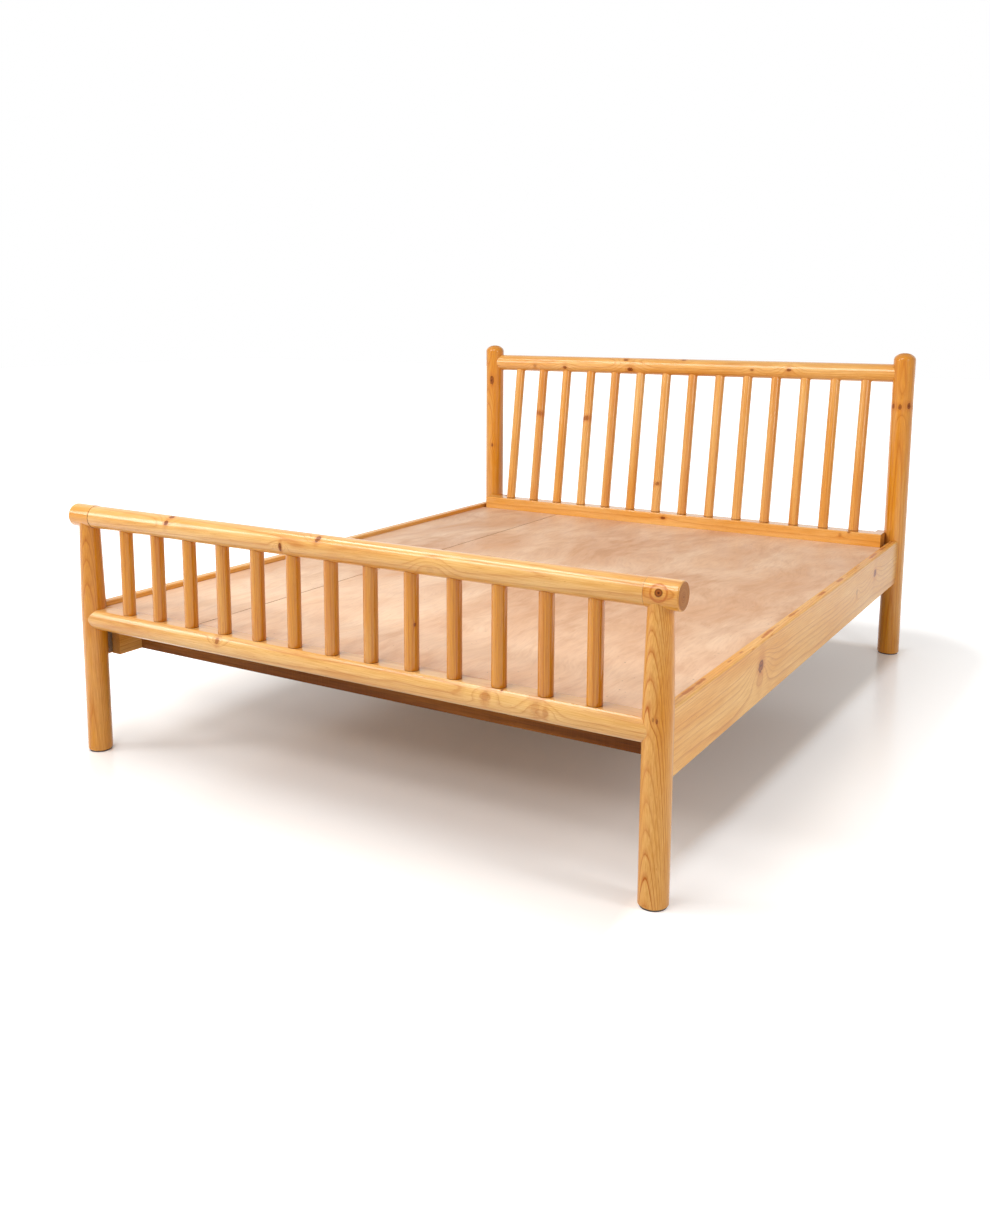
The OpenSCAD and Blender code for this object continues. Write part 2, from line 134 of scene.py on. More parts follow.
class Signal:
    """A value that flows through a node tree, so that an effect reads as a formula.

    Python's operators add Math nodes, or Vector Math nodes where a side is a vector.
    """

    def __init__(self, bench: "Bench", socket: bpy.types.NodeSocket) -> None:
        """Takes up what an output gives, with the bench on its tree."""
        self.bench = bench
        self.socket = socket

    __add__ = joined_by("ADD")
    __sub__ = joined_by("SUBTRACT")
    __rsub__ = joined_by("SUBTRACT", flipped=True)
    __truediv__ = joined_by("DIVIDE")
    __rtruediv__ = joined_by("DIVIDE", flipped=True)
    __pow__ = joined_by("POWER")
    __lt__ = joined_by("LESS_THAN")
    __gt__ = joined_by("GREATER_THAN")

    def __mul__(self, other: Feed) -> "Signal":
        """Returns the product, which for a vector and a number is the vector scaled."""
        if is_vector(self) and not is_vector(other):
            feeds = {0: self, "Scale": other}
            return self.bench.value("ShaderNodeVectorMath", feeds, operation="SCALE")
        return self.bench.math("MULTIPLY", self, other)

    def __abs__(self) -> "Signal":
        """Returns the value without its sign."""
        return self.bench.math("ABSOLUTE", self)

    def length(self) -> "Signal":
        """Returns the length of a vector."""
        return self.bench.value("ShaderNodeVectorMath", {0: self}, "Value", operation="LENGTH")

    def dot(self, other: Feed) -> "Signal":
        """Returns the dot product of two vectors."""
        feeds = {0: self, 1: other}
        return self.bench.value("ShaderNodeVectorMath", feeds, "Value", operation="DOT_PRODUCT")

    def split(self) -> tuple["Signal", ...]:
        """Returns a vector's three numbers."""
        node = self.bench.add("ShaderNodeSeparateXYZ", {0: self})
        return tuple(Signal(self.bench, socket) for socket in node.outputs)

    def span(
        self, low: Feed, high: Feed, start: Feed = 0.0, end: Feed = 1.0, smooth: bool = True
    ) -> "Signal":
        """Maps the value from one range to another, and stops at its ends.

        Args:
            low: The value that gives start.
            high: The value that gives end.
            start: The result at low.
            end: The result at high.
            smooth: Whether it eases in and out.

        Returns:
            The mapped value.
        """
        feeds = {"Value": self, "From Min": low, "From Max": high, "To Min": start, "To Max": end}
        kind = "SMOOTHSTEP" if smooth else "LINEAR"
        return self.bench.value("ShaderNodeMapRange", feeds, interpolation_type=kind)

    def curve(self, stops: Sequence[Span]) -> "Signal":
        """Maps 0 to 1 through grey levels given at chosen places.

        Args:
            stops: Places and the levels there, from low to high.

        Returns:
            The mapped value.
        """
        node = self.bench.add("ShaderNodeValToRGB", {0: self})
        ramp = node.color_ramp
        ramp.interpolation = "EASE"
        while len(ramp.elements) < len(stops):
            ramp.elements.new(1.0)
        for element, (place, level) in zip(ramp.elements, stops):
            element.position = place
            element.color = (level, level, level, 1.0)
        return Signal(self.bench, node.outputs[0])


def is_vector(value: Feed) -> bool:
    """Tells whether a value is a vector."""
    if isinstance(value, Signal):
        return value.socket.type == "VECTOR"
    return isinstance(value, tuple)


class Bench:
    """Adds and joins the nodes of one tree."""

    def __init__(self, tree: bpy.types.NodeTree) -> None:
        """Opens the node tree of a material, a world or a group."""
        self.tree = tree
        self._inlet: bpy.types.Node | None = None

    @classmethod
    def group(
        cls,
        name: str,
        inputs: Mapping[str, Union[Kind, float, int]],
        tree_type: str = "ShaderNodeTree",
    ) -> "Bench":
        """Starts a node group.

        Args:
            name: The group's name.
            inputs: Each input's default, or its kind where it has none, by name.
            tree_type: The type of tree.

        Returns:
            A bench on the new group.
        """
        tree = bpy.data.node_groups.new(name, tree_type)
        for label, default in inputs.items():
            plain = Kind.INT if isinstance(default, int) else Kind.FLOAT
            kind = default if isinstance(default, Kind) else plain
            socket = tree.interface.new_socket(name=label, in_out="INPUT", socket_type=kind.value)
            if default is not kind:
                socket.default_value = default
        bench = cls(tree)
        bench._inlet = tree.nodes.new("NodeGroupInput")
        return bench

    def __getitem__(self, name: str) -> Signal:
        """Returns the group's own input of that name."""
        return Signal(self, self._inlet.outputs[name])

    def outlet(self, results: Mapping[str, Feed], kind: Kind = Kind.FLOAT) -> bpy.types.NodeTree:
        """Gives the group its outputs and closes it.

        Args:
            results: What each output gives, by name.
            kind: What kind they are.

        Returns:
            The finished group.
        """
        for label in results:
            self.tree.interface.new_socket(name=label, in_out="OUTPUT", socket_type=kind.value)
        self.add("NodeGroupOutput", results)
        return self.tree

    def feed(self, node: bpy.types.Node, feeds: Mapping[Union[str, int], Feed]) -> None:
        """Links inputs of a node, given by name or place, to their values, or sets them."""
        for key, value in feeds.items():
            if isinstance(value, Signal):
                self.tree.links.new(value.socket, node.inputs[key])
            else:
                node.inputs[key].default_value = value

    def add(
        self, kind: str, feeds: Mapping[Union[str, int], Feed] | None = None, **settings: object
    ) -> bpy.types.Node:
        """Adds a node.

        Args:
            kind: The node's type.
            feeds: What its inputs get, by name or place.
            **settings: The node's own properties.

        Returns:
            The node.
        """
        node = self.tree.nodes.new(kind)
        for key, value in settings.items():
            setattr(node, key, value)
        self.feed(node, feeds or {})
        return node

    def value(
        self,
        kind: str,
        feeds: Mapping[Union[str, int], Feed] | None = None,
        output: Union[str, int] = 0,
        **settings: object,
    ) -> Signal:
        """Adds a node, and returns what the output of that name or place gives."""
        return Signal(self, self.add(kind, feeds, **settings).outputs[output])

    def use(self, group: bpy.types.NodeTree, feeds: Mapping[str, Feed]) -> dict[str, Signal]:
        """Places a shader node group.

        Args:
            group: The group.
            feeds: What its named inputs get.

        Returns:
            What its outputs give, by name.
        """
        node = self.add("ShaderNodeGroup", feeds, node_tree=group)
        return {socket.name: Signal(self, socket) for socket in node.outputs}

    def math(self, operation: str, *values: Feed, clamp: bool = False) -> Signal:
        """Returns what a Math node makes of numbers, or a Vector Math node of vectors."""
        feeds = dict(enumerate(values))
        if any(is_vector(value) for value in values):
            return self.value("ShaderNodeVectorMath", feeds, operation=operation)
        return self.value("ShaderNodeMath", feeds, operation=operation, use_clamp=clamp)

    def most(self, first: Signal, *others: Feed) -> Signal:
        """Returns the greatest of the values."""
        for other in others:
            first = self.math("MAXIMUM", first, other)
        return first

    def join(self, x: Feed = 0.0, y: Feed = 0.0, z: Feed = 0.0) -> Signal:
        """Returns a vector made of three numbers."""
        return self.value("ShaderNodeCombineXYZ", {0: x, 1: y, 2: z})

    def noise(
        self, vector: Signal, detail: float, roughness: float = 0.5, output: Union[str, int] = 0
    ) -> Signal:
        """Reads a noise.

        Args:
            vector: Where it is read.
            detail: How many finer layers it has.
            roughness: How strong those are.
            output: The name or place of the output.

        Returns:
            The noise, round 0.5.
        """
        feeds = {"Vector": vector, "Scale": 1.0, "Detail": detail, "Roughness": roughness}
        return self.value("ShaderNodeTexNoise", feeds, output)

    def wander(self, vector: Signal, detail: float) -> Signal:
        """Returns a noise of three numbers round 0, to bend a place with."""
        return self.noise(vector, detail, output="Color") - (0.5, 0.5, 0.5)

    def clouds(
        self,
        vector: Signal,
        stretch: Triple,
        low: float = 0.3,
        high: float = 0.7,
        detail: float = 2.0,
    ) -> Signal:
        """Reads a stretched noise as a number from 0 to 1.

        Args:
            vector: Where it is read.
            stretch: Its fineness along each axis, per metre.
            low: The noise that becomes 0.
            high: The noise that becomes 1.
            detail: How many finer layers it has.

        Returns:
            The number.
        """
        return self.noise(vector * stretch, detail).span(low, high)

    def mix(self, factor: Feed, first: Feed, second: Feed, blend: str = "MIX") -> Signal:
        """Returns a mix of two colours."""
        feeds = {0: factor, 6: first, 7: second}
        settings = {"data_type": "RGBA", "blend_type": blend, "clamp_factor": True}
        return self.value("ShaderNodeMix", feeds, 2, **settings)

    def layer(self, colour: Feed, *coats: tuple[Feed, Feed]) -> Signal:
        """Lays coats over a colour, each given as how much it covers and its own colour."""
        for cover, coat in coats:
            colour = self.mix(cover, colour, coat)
        return colour

    def seen_by(self, *rays: str) -> Signal:
        """Returns 1 for rays of the kinds that the outputs of Light Path name, otherwise 0."""
        node = self.add("ShaderNodeLightPath")
        return self.most(*(Signal(self, node.outputs[f"Is {ray} Ray"]) for ray in rays))


class Paint(Bench):
    """A bench on a new material, with its Principled shader."""

    def __init__(self, name: str) -> None:
        """Starts the material of that name."""
        self.material = bpy.data.materials.new(name)
        self.material.use_nodes = True
        self.material.node_tree.nodes.clear()
        super().__init__(self.material.node_tree)
        self.shader = self.add("ShaderNodeBsdfPrincipled")
        self.surface = Signal(self, self.shader.outputs[0])
        self.output = self.add("ShaderNodeOutputMaterial", {"Surface": self.surface})

    def coordinate(self, name: str) -> Signal:
        """Returns the place or the normal that Texture Coordinate gives under that name."""
        return self.value("ShaderNodeTexCoord", output=name)

    def finish(
        self, feeds: Mapping[str, Feed], height: Signal, strength: float, depth: float
    ) -> bpy.types.Material:
        """Feeds the shader and closes the material.

        Args:
            feeds: What the shader's inputs get, by name.
            height: The fine relief of the surface.
            strength: How strongly the relief shows.
            depth: How deep it is, in metres.

        Returns:
            The material.
        """
        relief = {"Height": height, "Strength": strength, "Distance": depth}
        self.feed(self.shader, {**feeds, "Normal": self.value("ShaderNodeBump", relief)})
        return self.material


# ---- Shared effects -----------------------------------------------------------------------

# How dark the wood is across one annual ring, from early wood to late wood
RING_PROFILE = ((0.0, 0.25), (0.10, 0.0), (0.55, 0.05), (0.80, 0.45), (0.93, 1.0), (1.0, 0.25))
# What each knot adds to, so that knots follow one another
KNOT_MARKS = ("Shift", "Core", "Age", "Halo")


def make_growth_rings() -> bpy.types.NodeTree:
    """Annual rings, fibres and resin ducts about a pith that runs along local Z."""
    bench = Bench.group(
        "growth_rings",
        {"Vector": Kind.VECTOR, "Shift": 0.0, "Spacing": 0.0035, "Waviness": 0.006, "Heart": 0.02},
    )
    place, spacing, heart = bench["Vector"], bench["Spacing"], bench["Heart"]

    # The trunk sways along its height, and each ring shivers by a part of its own width
    sway = bench.wander(place * (5.0, 5.0, 1.3), 1.5) * bench["Waviness"]
    shiver = bench.wander(place * (60.0, 60.0, 9.0), 2.0) * (spacing * 0.3)
    x, y, _ = (place + (sway * 2.0 + shiver)).split()
    radius = bench.join(x, y).length() + bench["Shift"]

    # Wide and narrow years, each with its own strength of late wood
    uneven = bench.noise(bench.join(radius * 55.0, 3.1), 0.0)
    phase = radius / spacing + uneven * 2.2
    profile = bench.math("FRACT", phase).curve(RING_PROFILE)
    year = {"W": bench.math("FLOOR", phase)}
    order = bench.value("ShaderNodeTexWhiteNoise", year, "Value", noise_dimensions="1D")
    return bench.outlet(
        {
            "Late": profile * order.span(0.0, 1.0, 0.30, 1.0, smooth=False),
            "Fibre": bench.clouds(place, (900.0, 900.0, 16.0), 0.30, 0.70, 3.0),
            "Cloud": bench.clouds(place, (14.0, 14.0, 2.4), 0.25, 0.75, 3.0),
            "Ducts": bench.clouds(place, (620.0, 620.0, 70.0), 0.69, 0.76, 1.0),
            "Heartwood": radius.span(heart + 4 * MM, heart - 3 * MM),
        }
    )


def make_branch_knot() -> bpy.types.NodeTree:
    """One knot: where the branch shows, and how far the rings bend round it.

    It takes what the knots before it gave and adds its own. Distances from its middle are
    measured in its own radius.
    """
    bench = Bench.group(
        "branch_knot",
        {
            **dict.fromkeys(("Vector", "Centre", "Axis"), Kind.VECTOR),
            **{"Radius": 0.006, "Bulge": 0.012, "Depth": 1.0, "Belt": 0.6},
            **{"Tall": 1.4, "Collar": 0.0},
            **dict.fromkeys(KNOT_MARKS, 0.0),
        },
    )
    radius, axis, collar = bench["Radius"], bench["Axis"], bench["Collar"]

    # The place beside the branch, which starts a few radii inside the surface
    away = bench["Vector"] - bench["Centre"]
    along = away.dot(axis)
    across = away - axis * along
    reach = along.span(radius * -5.0, radius * -3.0)
    ragged = bench.wander(away * 150.0, 2.0) * (radius * collar.span(0.0, 1.0, 0.9, 0.25))

    # Distances in radii: edge for the branch itself, flow for the rings that part round it
    squeeze = 1.0 / bench["Tall"]
    edge = (across * bench.join(squeeze, squeeze, 1.0) + ragged).length() / radius
    flow = (across * (1.0, 1.0, 0.42)).length() / radius
    bell = bench.math("EXPONENT", flow ** 2.0 * -0.22)
    core = edge.span(0.78, 1.15, 1.0, 0.0) * (reach * bench["Depth"])
    age = edge.span(0.0, 1.1, 1.0, 0.0, smooth=False) * reach

    # Stain round it: a belt across the grain, a ring at its collar and a soft glow
    belt = (across * (0.50, 0.50, 1.0) + ragged * 1.2).length() / radius
    stain = belt.span(0.3, 2.3, 1.0, 0.0) * bench["Belt"]
    outer = abs(edge - 2.05).span(0.12, 0.42, 1.0, 0.0) * collar
    glow = edge.span(0.9, 2.4, 0.55, 0.0) * (bench["Depth"] * (1.0 - collar))
    return bench.outlet(
        {
            "Shift": bench["Shift"] - bell * bench["Bulge"] * reach,
            "Core": bench.most(bench["Core"], core),
            "Age": bench.most(bench["Age"], age),
            "Halo": bench.most(bench["Halo"], bench.most(stain, outer, glow) * reach),
        }
    )


def make_resin_lane() -> bpy.types.NodeTree:
    """A row of resin pockets along local Z: short amber dashes that follow one another."""
    bench = Bench.group(
        "resin_lane",
        {"Vector": Kind.VECTOR, "Centre": Kind.VECTOR, "Width": 0.0032, "Rhythm": 12.0},
    )
    width = bench["Width"]

    # Distance from the lane's line, which drifts, frays and swells where a dash ends
    x, y, z = (bench["Vector"] - bench["Centre"]).split()
    drift = bench.wander(bench.join(z * 9.0, 7.7), 2.0) * (width * 4.0)
    beside = (bench.join(x, y) + drift * (1.0, 1.0, 0.0)).length()
    grain = bench.clouds(bench["Vector"], (500.0, 500.0, 60.0), 0.2, 0.8)
    dash = bench.noise(bench.join(z * bench["Rhythm"], 3.3), 3.0).span(0.46, 0.62)
    beside = beside + grain * (width * 0.8) + (1.0 - dash) * (width * 2.0)
    lane = beside.span(width, width * 2.8, 1.0, 0.0)
    return bench.outlet({"Mask": lane * dash.span(0.0, 0.3)})


def make_streaks() -> bpy.types.NodeTree:
    """Long soft streaks along local Z with finer lines in them, for stained timber and metal."""
    bench = Bench.group("streaks", {"Vector": Kind.VECTOR, "Breadth": 0.02, "Run": 0.5})
    across = 1.0 / bench["Breadth"]
    place = bench["Vector"] * bench.join(across, across, 1.0 / bench["Run"])
    broad = bench.noise(place, 4.0, 0.6)
    fine = bench.noise(place * (9.0, 9.0, 2.0), 3.0)
    return bench.outlet({"Broad": broad.span(0.32, 0.68), "Fine": fine.span(0.3, 0.7)})


@dataclass
class Effects:
    """The node groups that more than one material places."""

    rings: bpy.types.NodeTree = field(default_factory=make_growth_rings)
    knot: bpy.types.NodeTree = field(default_factory=make_branch_knot)
    lane: bpy.types.NodeTree = field(default_factory=make_resin_lane)
    streaks: bpy.types.NodeTree = field(default_factory=make_streaks)


# ---- Cuts of timber -----------------------------------------------------------------------


class Run(Enum):
    """Which way the grain of a piece runs, as the turn that brings local Z there."""

    ACROSS_THE_BED = (0.0, math.radians(90), 0.0)
    ALONG_THE_BED = (math.radians(-90), 0.0, 0.0)
    UPRIGHT = (0.0, 0.0, 0.0)


@dataclass(frozen=True)
class Knot:
    """A knot that shows on a piece.

    Attributes:
        at: Where its middle shows, from the middle of the piece, in metres.
        radius: Its radius in metres.
        bulge: How far the rings bend round it, in metres.
        depth: How strongly its wood shows, from 0 to 1.
        belt: How strongly it stains the wood across the grain, from 0 to 1.
        tall: Its height across the grain, as a share of its length along it.
        collar: How plainly an outer ring shows round it, from 0 to 1.
    """

    at: Triple
    radius: float
    bulge: float = 0.012
    depth: float = 1.0
    belt: float = 0.6
    tall: float = 1.4
    collar: float = 0.0


@dataclass(frozen=True)
class Cut:
    """How one piece was cut from its log.

    Attributes:
        run: Which way the grain runs.
        pith: Where the pith passes the middle of the piece, in metres across the grain.
        lean: How far the pith leans out of the piece's own line, in degrees.
        spacing: Distance between rings in metres.
        waviness: How far the rings wander, in metres.
        tone: How light the piece is beside its neighbours.
        contrast: How dark its late wood is.
        honey: How far its colour has ripened from cream to honey, where 1 is ripe.
        heart: Radius of the darker heartwood, in metres.
        end_shade: How much darker its end grain is, from 0 to 1.
        knots: The knots that show.
        lanes: Where rows of resin pockets run, from the middle of the piece, in metres.
        seam: Where a dark line crosses the wood, from the middle of the piece along the grain: the
            glued joint where a cap meets its rail, and painted contact shade at the foot of a
            spindle.
        gloss: How much varnish lies on it, from 0 to 1.
    """

    run: Run
    pith: Span
    lean: Span = (0.0, 0.0)
    spacing: float = 0.0038
    waviness: float = 0.006
    tone: float = 1.0
    contrast: float = 1.0
    honey: float = 0.35
    heart: float = 0.010
    end_shade: float = 0.85
    knots: tuple[Knot, ...] = ()
    lanes: tuple[Triple, ...] = ()
    seam: float | None = None
    gloss: float = 1.0

    def turn(self) -> Matrix:
        """Returns the turn from the grain's own axes to the bed's."""
        lean = Euler((math.radians(self.lean[0]), math.radians(self.lean[1]), 0.0)).to_matrix()
        return Euler(self.run.value).to_matrix() @ lean

    def origin(self, middle: Vector) -> Vector:
        """Returns the point of the pith nearest a piece's middle."""
        return middle + self.turn() @ Vector((self.pith[0], self.pith[1], 0.0))


@dataclass
class Grain:
    """Where a material reads its grain from, and where the knots and resin lie in it."""

    cut: Cut

    def vector(self, paint: Paint) -> Signal:
        """Returns the place in the log, with the pith along local Z."""
        raise NotImplementedError

    def squareness(self, paint: Paint) -> Signal:
        """Returns how squarely the surface cuts the grain: 0, where no end shows."""
        return paint.value("ShaderNodeValue")

    def knots(self) -> list[tuple[Vector, Knot]]:
        """Returns each knot with its place in the log."""
        raise NotImplementedError

    def lanes(self) -> list[Vector]:
        """Returns a place in the log on each row of resin pockets."""
        return []


@dataclass
class SolidGrain(Grain):
    """Grain read straight from a piece's own coordinates, about the piece's middle."""

    middle: Vector

    def vector(self, paint: Paint) -> Signal:
        """Returns the place in the log, with the pith along local Z."""
        feeds = {
            "Vector": paint.coordinate("Object"),
            "Location": tuple(self.cut.origin(self.middle)),
            "Rotation": tuple(self.cut.turn().to_euler()),
        }
        return paint.value("ShaderNodeMapping", feeds, vector_type="TEXTURE")

    def squareness(self, paint: Paint) -> Signal:
        """Returns how squarely the surface cuts the grain, from 0 along it to 1 at an end."""
        return abs(paint.coordinate("Normal").dot(tuple(self.cut.turn() @ Vector((0.0, 0.0, 1.0)))))

    def in_log(self, at: Triple) -> Vector:
        """Returns where a place on the piece lies in the log."""
        way = self.middle + Vector(at) - self.cut.origin(self.middle)
        return self.cut.turn().transposed() @ way

    def knots(self) -> list[tuple[Vector, Knot]]:
        """Returns each knot with its place in the log."""
        return [(self.in_log(knot.at), knot) for knot in self.cut.knots]

    def lanes(self) -> list[Vector]:
        """Returns a place in the log on each row of resin pockets."""
        return [self.in_log(lane) for lane in self.cut.lanes]


@dataclass
class RowGrain(Grain):
    """Grain read from the attribute that a row of turned spindles carries."""

    attribute: str
    places: list[tuple[Vector, Knot]]

    def vector(self, paint: Paint) -> Signal:
        """Returns the place in the log, with the pith along local Z."""
        return paint.value("ShaderNodeAttribute", output="Vector", attribute_name=self.attribute)

    def knots(self) -> list[tuple[Vector, Knot]]:
        """Returns each knot with its place in the log."""
        return self.places


# ---- Finishes -----------------------------------------------------------------------------


@dataclass(frozen=True)
class PineFinish:
    """Clear gloss varnish over knotty pine."""

    slot: str = "pine"
    cream: Colour = srgb("#F2C47C")
    ripe: Colour = srgb("#E0951E")
    late: Colour = srgb("#B95C08")
    heart: Colour = srgb("#CB7A28")
    belt: Colour = srgb("#C0661A")
    knot: Colour = srgb("#9A5220")
    bark: Colour = srgb("#4A1B07")
    resin: Colour = srgb("#B86210")
    end: Colour = srgb("#A2622D")
    ripeness_range: float = 0.34
    late_strength: float = 0.70
    heart_strength: float = 0.35
    duct_strength: float = 0.45
    pocket_strength: float = 0.95
    # How dark the line of a cap's glued joint and the painted contact shade at a spindle's foot are
    seam_strength: float = 0.65
    rim_strength: float = 0.9
    core_fades: Span = (0.16, 0.46)
    core_darkens: Span = (0.62, 0.90)
    end_squareness: Span = (0.80, 0.97)
    branch_lean: Triple = (0.0, 0.0, 0.25)
    pith_radius: float = 1.4 * MM
    # How far that dark line reaches either side, in metres
    seam_reach: Span = (0.6 * MM, 2.0 * MM)
    fibre_low: Triple = (0.88, 0.76, 0.56)
    fibre_high: Triple = (1.05, 1.07, 1.08)
    roughness: float = 0.38
    fibre_roughness: float = 0.08
    end_roughness: float = 0.2
    sheen_level: float = 0.15
    sheen_tint: Colour = srgb("#FFDDAA")
    coat: float = 1.0
    coat_ior: float = 1.45
    coat_roughness: float = 0.15
    relief: float = 0.04
    relief_depth: float = 0.3 * MM

    def mark_knots(
        self, paint: Paint, place: Signal, grain: Grain, effects: Effects
    ) -> dict[str, Signal]:
        """Places the knots of one piece.

        Args:
            paint: The bench on the piece's material.
            place: The place in the log.
            grain: Where the grain is read from.
            effects: The shared node groups.

        Returns:
            What the last knot gives, by name.
        """
        marks = dict.fromkeys(KNOT_MARKS, paint.value("ShaderNodeValue"))
        for spot, knot in grain.knots():
            outward = Vector((spot.x, spot.y, 0.0)).normalized()
            feeds = {
                "Vector": place,
                "Centre": tuple(spot),
                "Axis": tuple((outward + Vector(self.branch_lean)).normalized()),
                **{key.title(): value for key, value in vars(knot).items() if key != "at"},
            }
            marks = paint.use(effects.knot, {**feeds, **marks})
        return marks

    def material(self, name: str, grain: Grain, effects: Effects) -> bpy.types.Material:
        """Makes the finish for one piece.

        Args:
            name: The material's name.
            grain: Where its grain is read from, with its cut.
            effects: The shared node groups.

        Returns:
            The material.
        """
        cut, paint = grain.cut, Paint(name)

        # Sapwood between cream and honey, with heartwood, late wood, fibres and resin ducts
        place = grain.vector(paint)
        x, y, along = place.split()
        marks = self.mark_knots(paint, place, grain, effects)
        growth = {"Spacing": cut.spacing, "Waviness": cut.waviness, "Heart": cut.heart}
        rings = paint.use(effects.rings, {"Vector": place, "Shift": marks["Shift"], **growth})
        late = paint.math("MULTIPLY", rings["Late"], self.late_strength * cut.contrast, clamp=True)
        unripe, ripest = cut.honey - self.ripeness_range, cut.honey + self.ripeness_range
        ripeness = rings["Cloud"].span(0.0, 1.0, unripe, ripest, smooth=False)
        colour = paint.mix(ripeness, self.cream, self.ripe)
        heartwood = rings["Heartwood"] * self.heart_strength
        colour = paint.layer(colour, (heartwood, self.heart), (late, self.late))
        grey = paint.join(*[rings["Fibre"]] * 3)
        tints = {"Vector": grey, 9: self.fibre_low, 10: self.fibre_high}
        fibre = paint.value("ShaderNodeMapRange", tints, "Vector", data_type="FLOAT_VECTOR")
        colour = paint.mix(1.0, colour, fibre, "MULTIPLY")
        colour = paint.mix(rings["Ducts"] * self.duct_strength, colour, self.resin)

        # What shows here and there: resin pockets, knots, the glued joint of each cap and painted
        # contact shade at the foot of each spindle
        for centre in grain.lanes():
            pockets = paint.use(effects.lane, {"Vector": place, "Centre": tuple(centre)})["Mask"]
            colour = paint.mix(pockets * self.pocket_strength, colour, self.resin)
        core = paint.mix(marks["Age"].span(*self.core_fades), self.bark, self.knot)
        core = paint.mix(marks["Age"].span(*self.core_darkens), core, self.bark)
        colour = paint.layer(colour, (marks["Halo"], self.belt), (marks["Core"], core))
        # A dark line: painted contact shade round each spindle's foot, and the glued joint of each
        # cap
        if cut.seam is not None:
            off = abs(paint.math("WRAP", along - cut.seam, 0.5, -0.5))
            glue_and_contact_shade = off.span(*self.seam_reach, self.seam_strength, 0.0)
            colour = paint.mix(glue_and_contact_shade, colour, self.bark)

        # End grain, with its rings and its pith
        ends = grain.squareness(paint).span(*self.end_squareness)
        pith = paint.join(x, y).length().span(self.pith_radius, 2 * self.pith_radius, 1.0, 0.0)
        rim = ends * paint.most(pith, rings["Late"] * 0.9) * (self.rim_strength * cut.end_shade)
        colour = paint.layer(colour, (ends * cut.end_shade, self.end), (rim, self.bark))
        colour = paint.mix(1.0, colour, (cut.tone, cut.tone, cut.tone, 1.0), "MULTIPLY")

        # Varnish lies thinner where the wood drinks it
        smooth = self.roughness - self.fibre_roughness / 2
        dry = paint.most(ends, marks["Core"], late * 0.8, marks["Halo"] * 0.6)
        feeds = {
            "Base Color": colour,
            "Roughness": rings["Fibre"] * self.fibre_roughness + smooth + ends * self.end_roughness,
            "Specular IOR Level": self.sheen_level,
            "Specular Tint": self.sheen_tint,
            "Coat Weight": dry.span(0.0, 1.0, self.coat * cut.gloss, 0.1, smooth=False),
            "Coat IOR": self.coat_ior,
            "Coat Roughness": self.coat_roughness,
        }
        height = rings["Fibre"] * 0.3 - rings["Late"] - marks["Core"]
        return paint.finish(feeds, height, self.relief, self.relief_depth)


@dataclass(frozen=True)
class PlywoodFinish:
    """Bare rotary-cut plywood with a satin sheen and its plies at the edges."""

    pale: Colour = srgb("#F2CFAE")
    rose: Colour = srgb("#DFB089")
    brown: Colour = srgb("#B07652")
    ply_light: Colour = srgb("#B58759")
    ply_dark: Colour = srgb("#6A4024")
    plies: int = 7
    # Where the painted light on the deck's foot end is full and where it has faded out, along the
    # bed
    bleached_reach: Span = (-0.95, -0.25)
    roughness: float = 0.48
    loop_profile: tuple[Span, ...] = (
        (0.0, 0.5), (0.12, 0.0), (0.55, 0.15), (0.90, 1.0), (1.0, 0.5)
    )

    def material(
        self, name: str, under: float, thickness: float, tone: float
    ) -> bpy.types.Material:
        """Makes the finish for one panel.

        Args:
            name: The material's name.
            under: Height of the panel's underside.
            thickness: The panel's thickness.
            tone: How light the panel is beside its neighbour.

        Returns:
            The material.
        """
        paint = Paint(name)
        place = paint.coordinate("Object")
        _, along, up = place.split()
        veneer = place + paint.wander(place * (3.4, 2.2, 1.0), 2.0) * (0.22, 0.16, 0.0)
        blotch = paint.clouds(veneer, (5.0, 2.6, 1.0), 0.34, 0.66, 6.0)
        depth = paint.noise(veneer * (3.0, 1.1, 1.0), 2.0)
        loops = paint.math("FRACT", depth * 13.0).curve(self.loop_profile)
        patch = paint.clouds(place, (4.0, 2.0, 1.0), 0.42, 0.66)
        streak = paint.clouds(veneer, (24.0, 9.0, 1.0), 0.34, 0.74, 6.0)
        line = paint.clouds(veneer, (190.0, 26.0, 1.0), 0.36, 0.70, 3.0)
        speck = paint.clouds(place, (150.0, 90.0, 1.0), 0.765, 0.80, 1.0)
        # Painted light: towards the foot end the deck is paler, with fewer rosy blotches
        painted_light_near_foot = along.span(*self.bleached_reach, 0.55, 0.0)
        face = paint.layer(
            paint.mix(blotch * (1.0 - painted_light_near_foot), self.pale, self.rose),
            (loops * 0.10, self.brown),
            (streak * patch * 0.30, self.brown),
            (line * 0.16, self.brown),
            (speck * 0.45, self.ply_dark),
        )
        sheet = paint.math("FLOOR", (up - under) / thickness * float(self.plies))
        edge = paint.mix(paint.math("MODULO", sheet, 2.0), self.ply_light, self.ply_dark)
        edge = paint.mix(paint.clouds(place, (120.0, 120.0, 900.0)) * 0.4, edge, self.brown)
        facing = abs(paint.coordinate("Normal").split()[2])
        colour = paint.mix(facing.span(0.4, 0.6, 1.0, 0.0), face, edge)
        # The painted light near the foot also brightens the colour there
        lift = paint.math("MULTIPLY_ADD", painted_light_near_foot, 0.12, tone)
        feeds = {
            "Base Color": paint.mix(1.0, colour, paint.join(lift, lift, lift), "MULTIPLY"),
            "Roughness": streak.span(0.0, 1.0, self.roughness - 0.06, self.roughness + 0.10),
            "Specular IOR Level": 0.3,
        }
        return paint.finish(feeds, line * 0.6 + streak * 0.4, 0.2, 0.3 * MM)


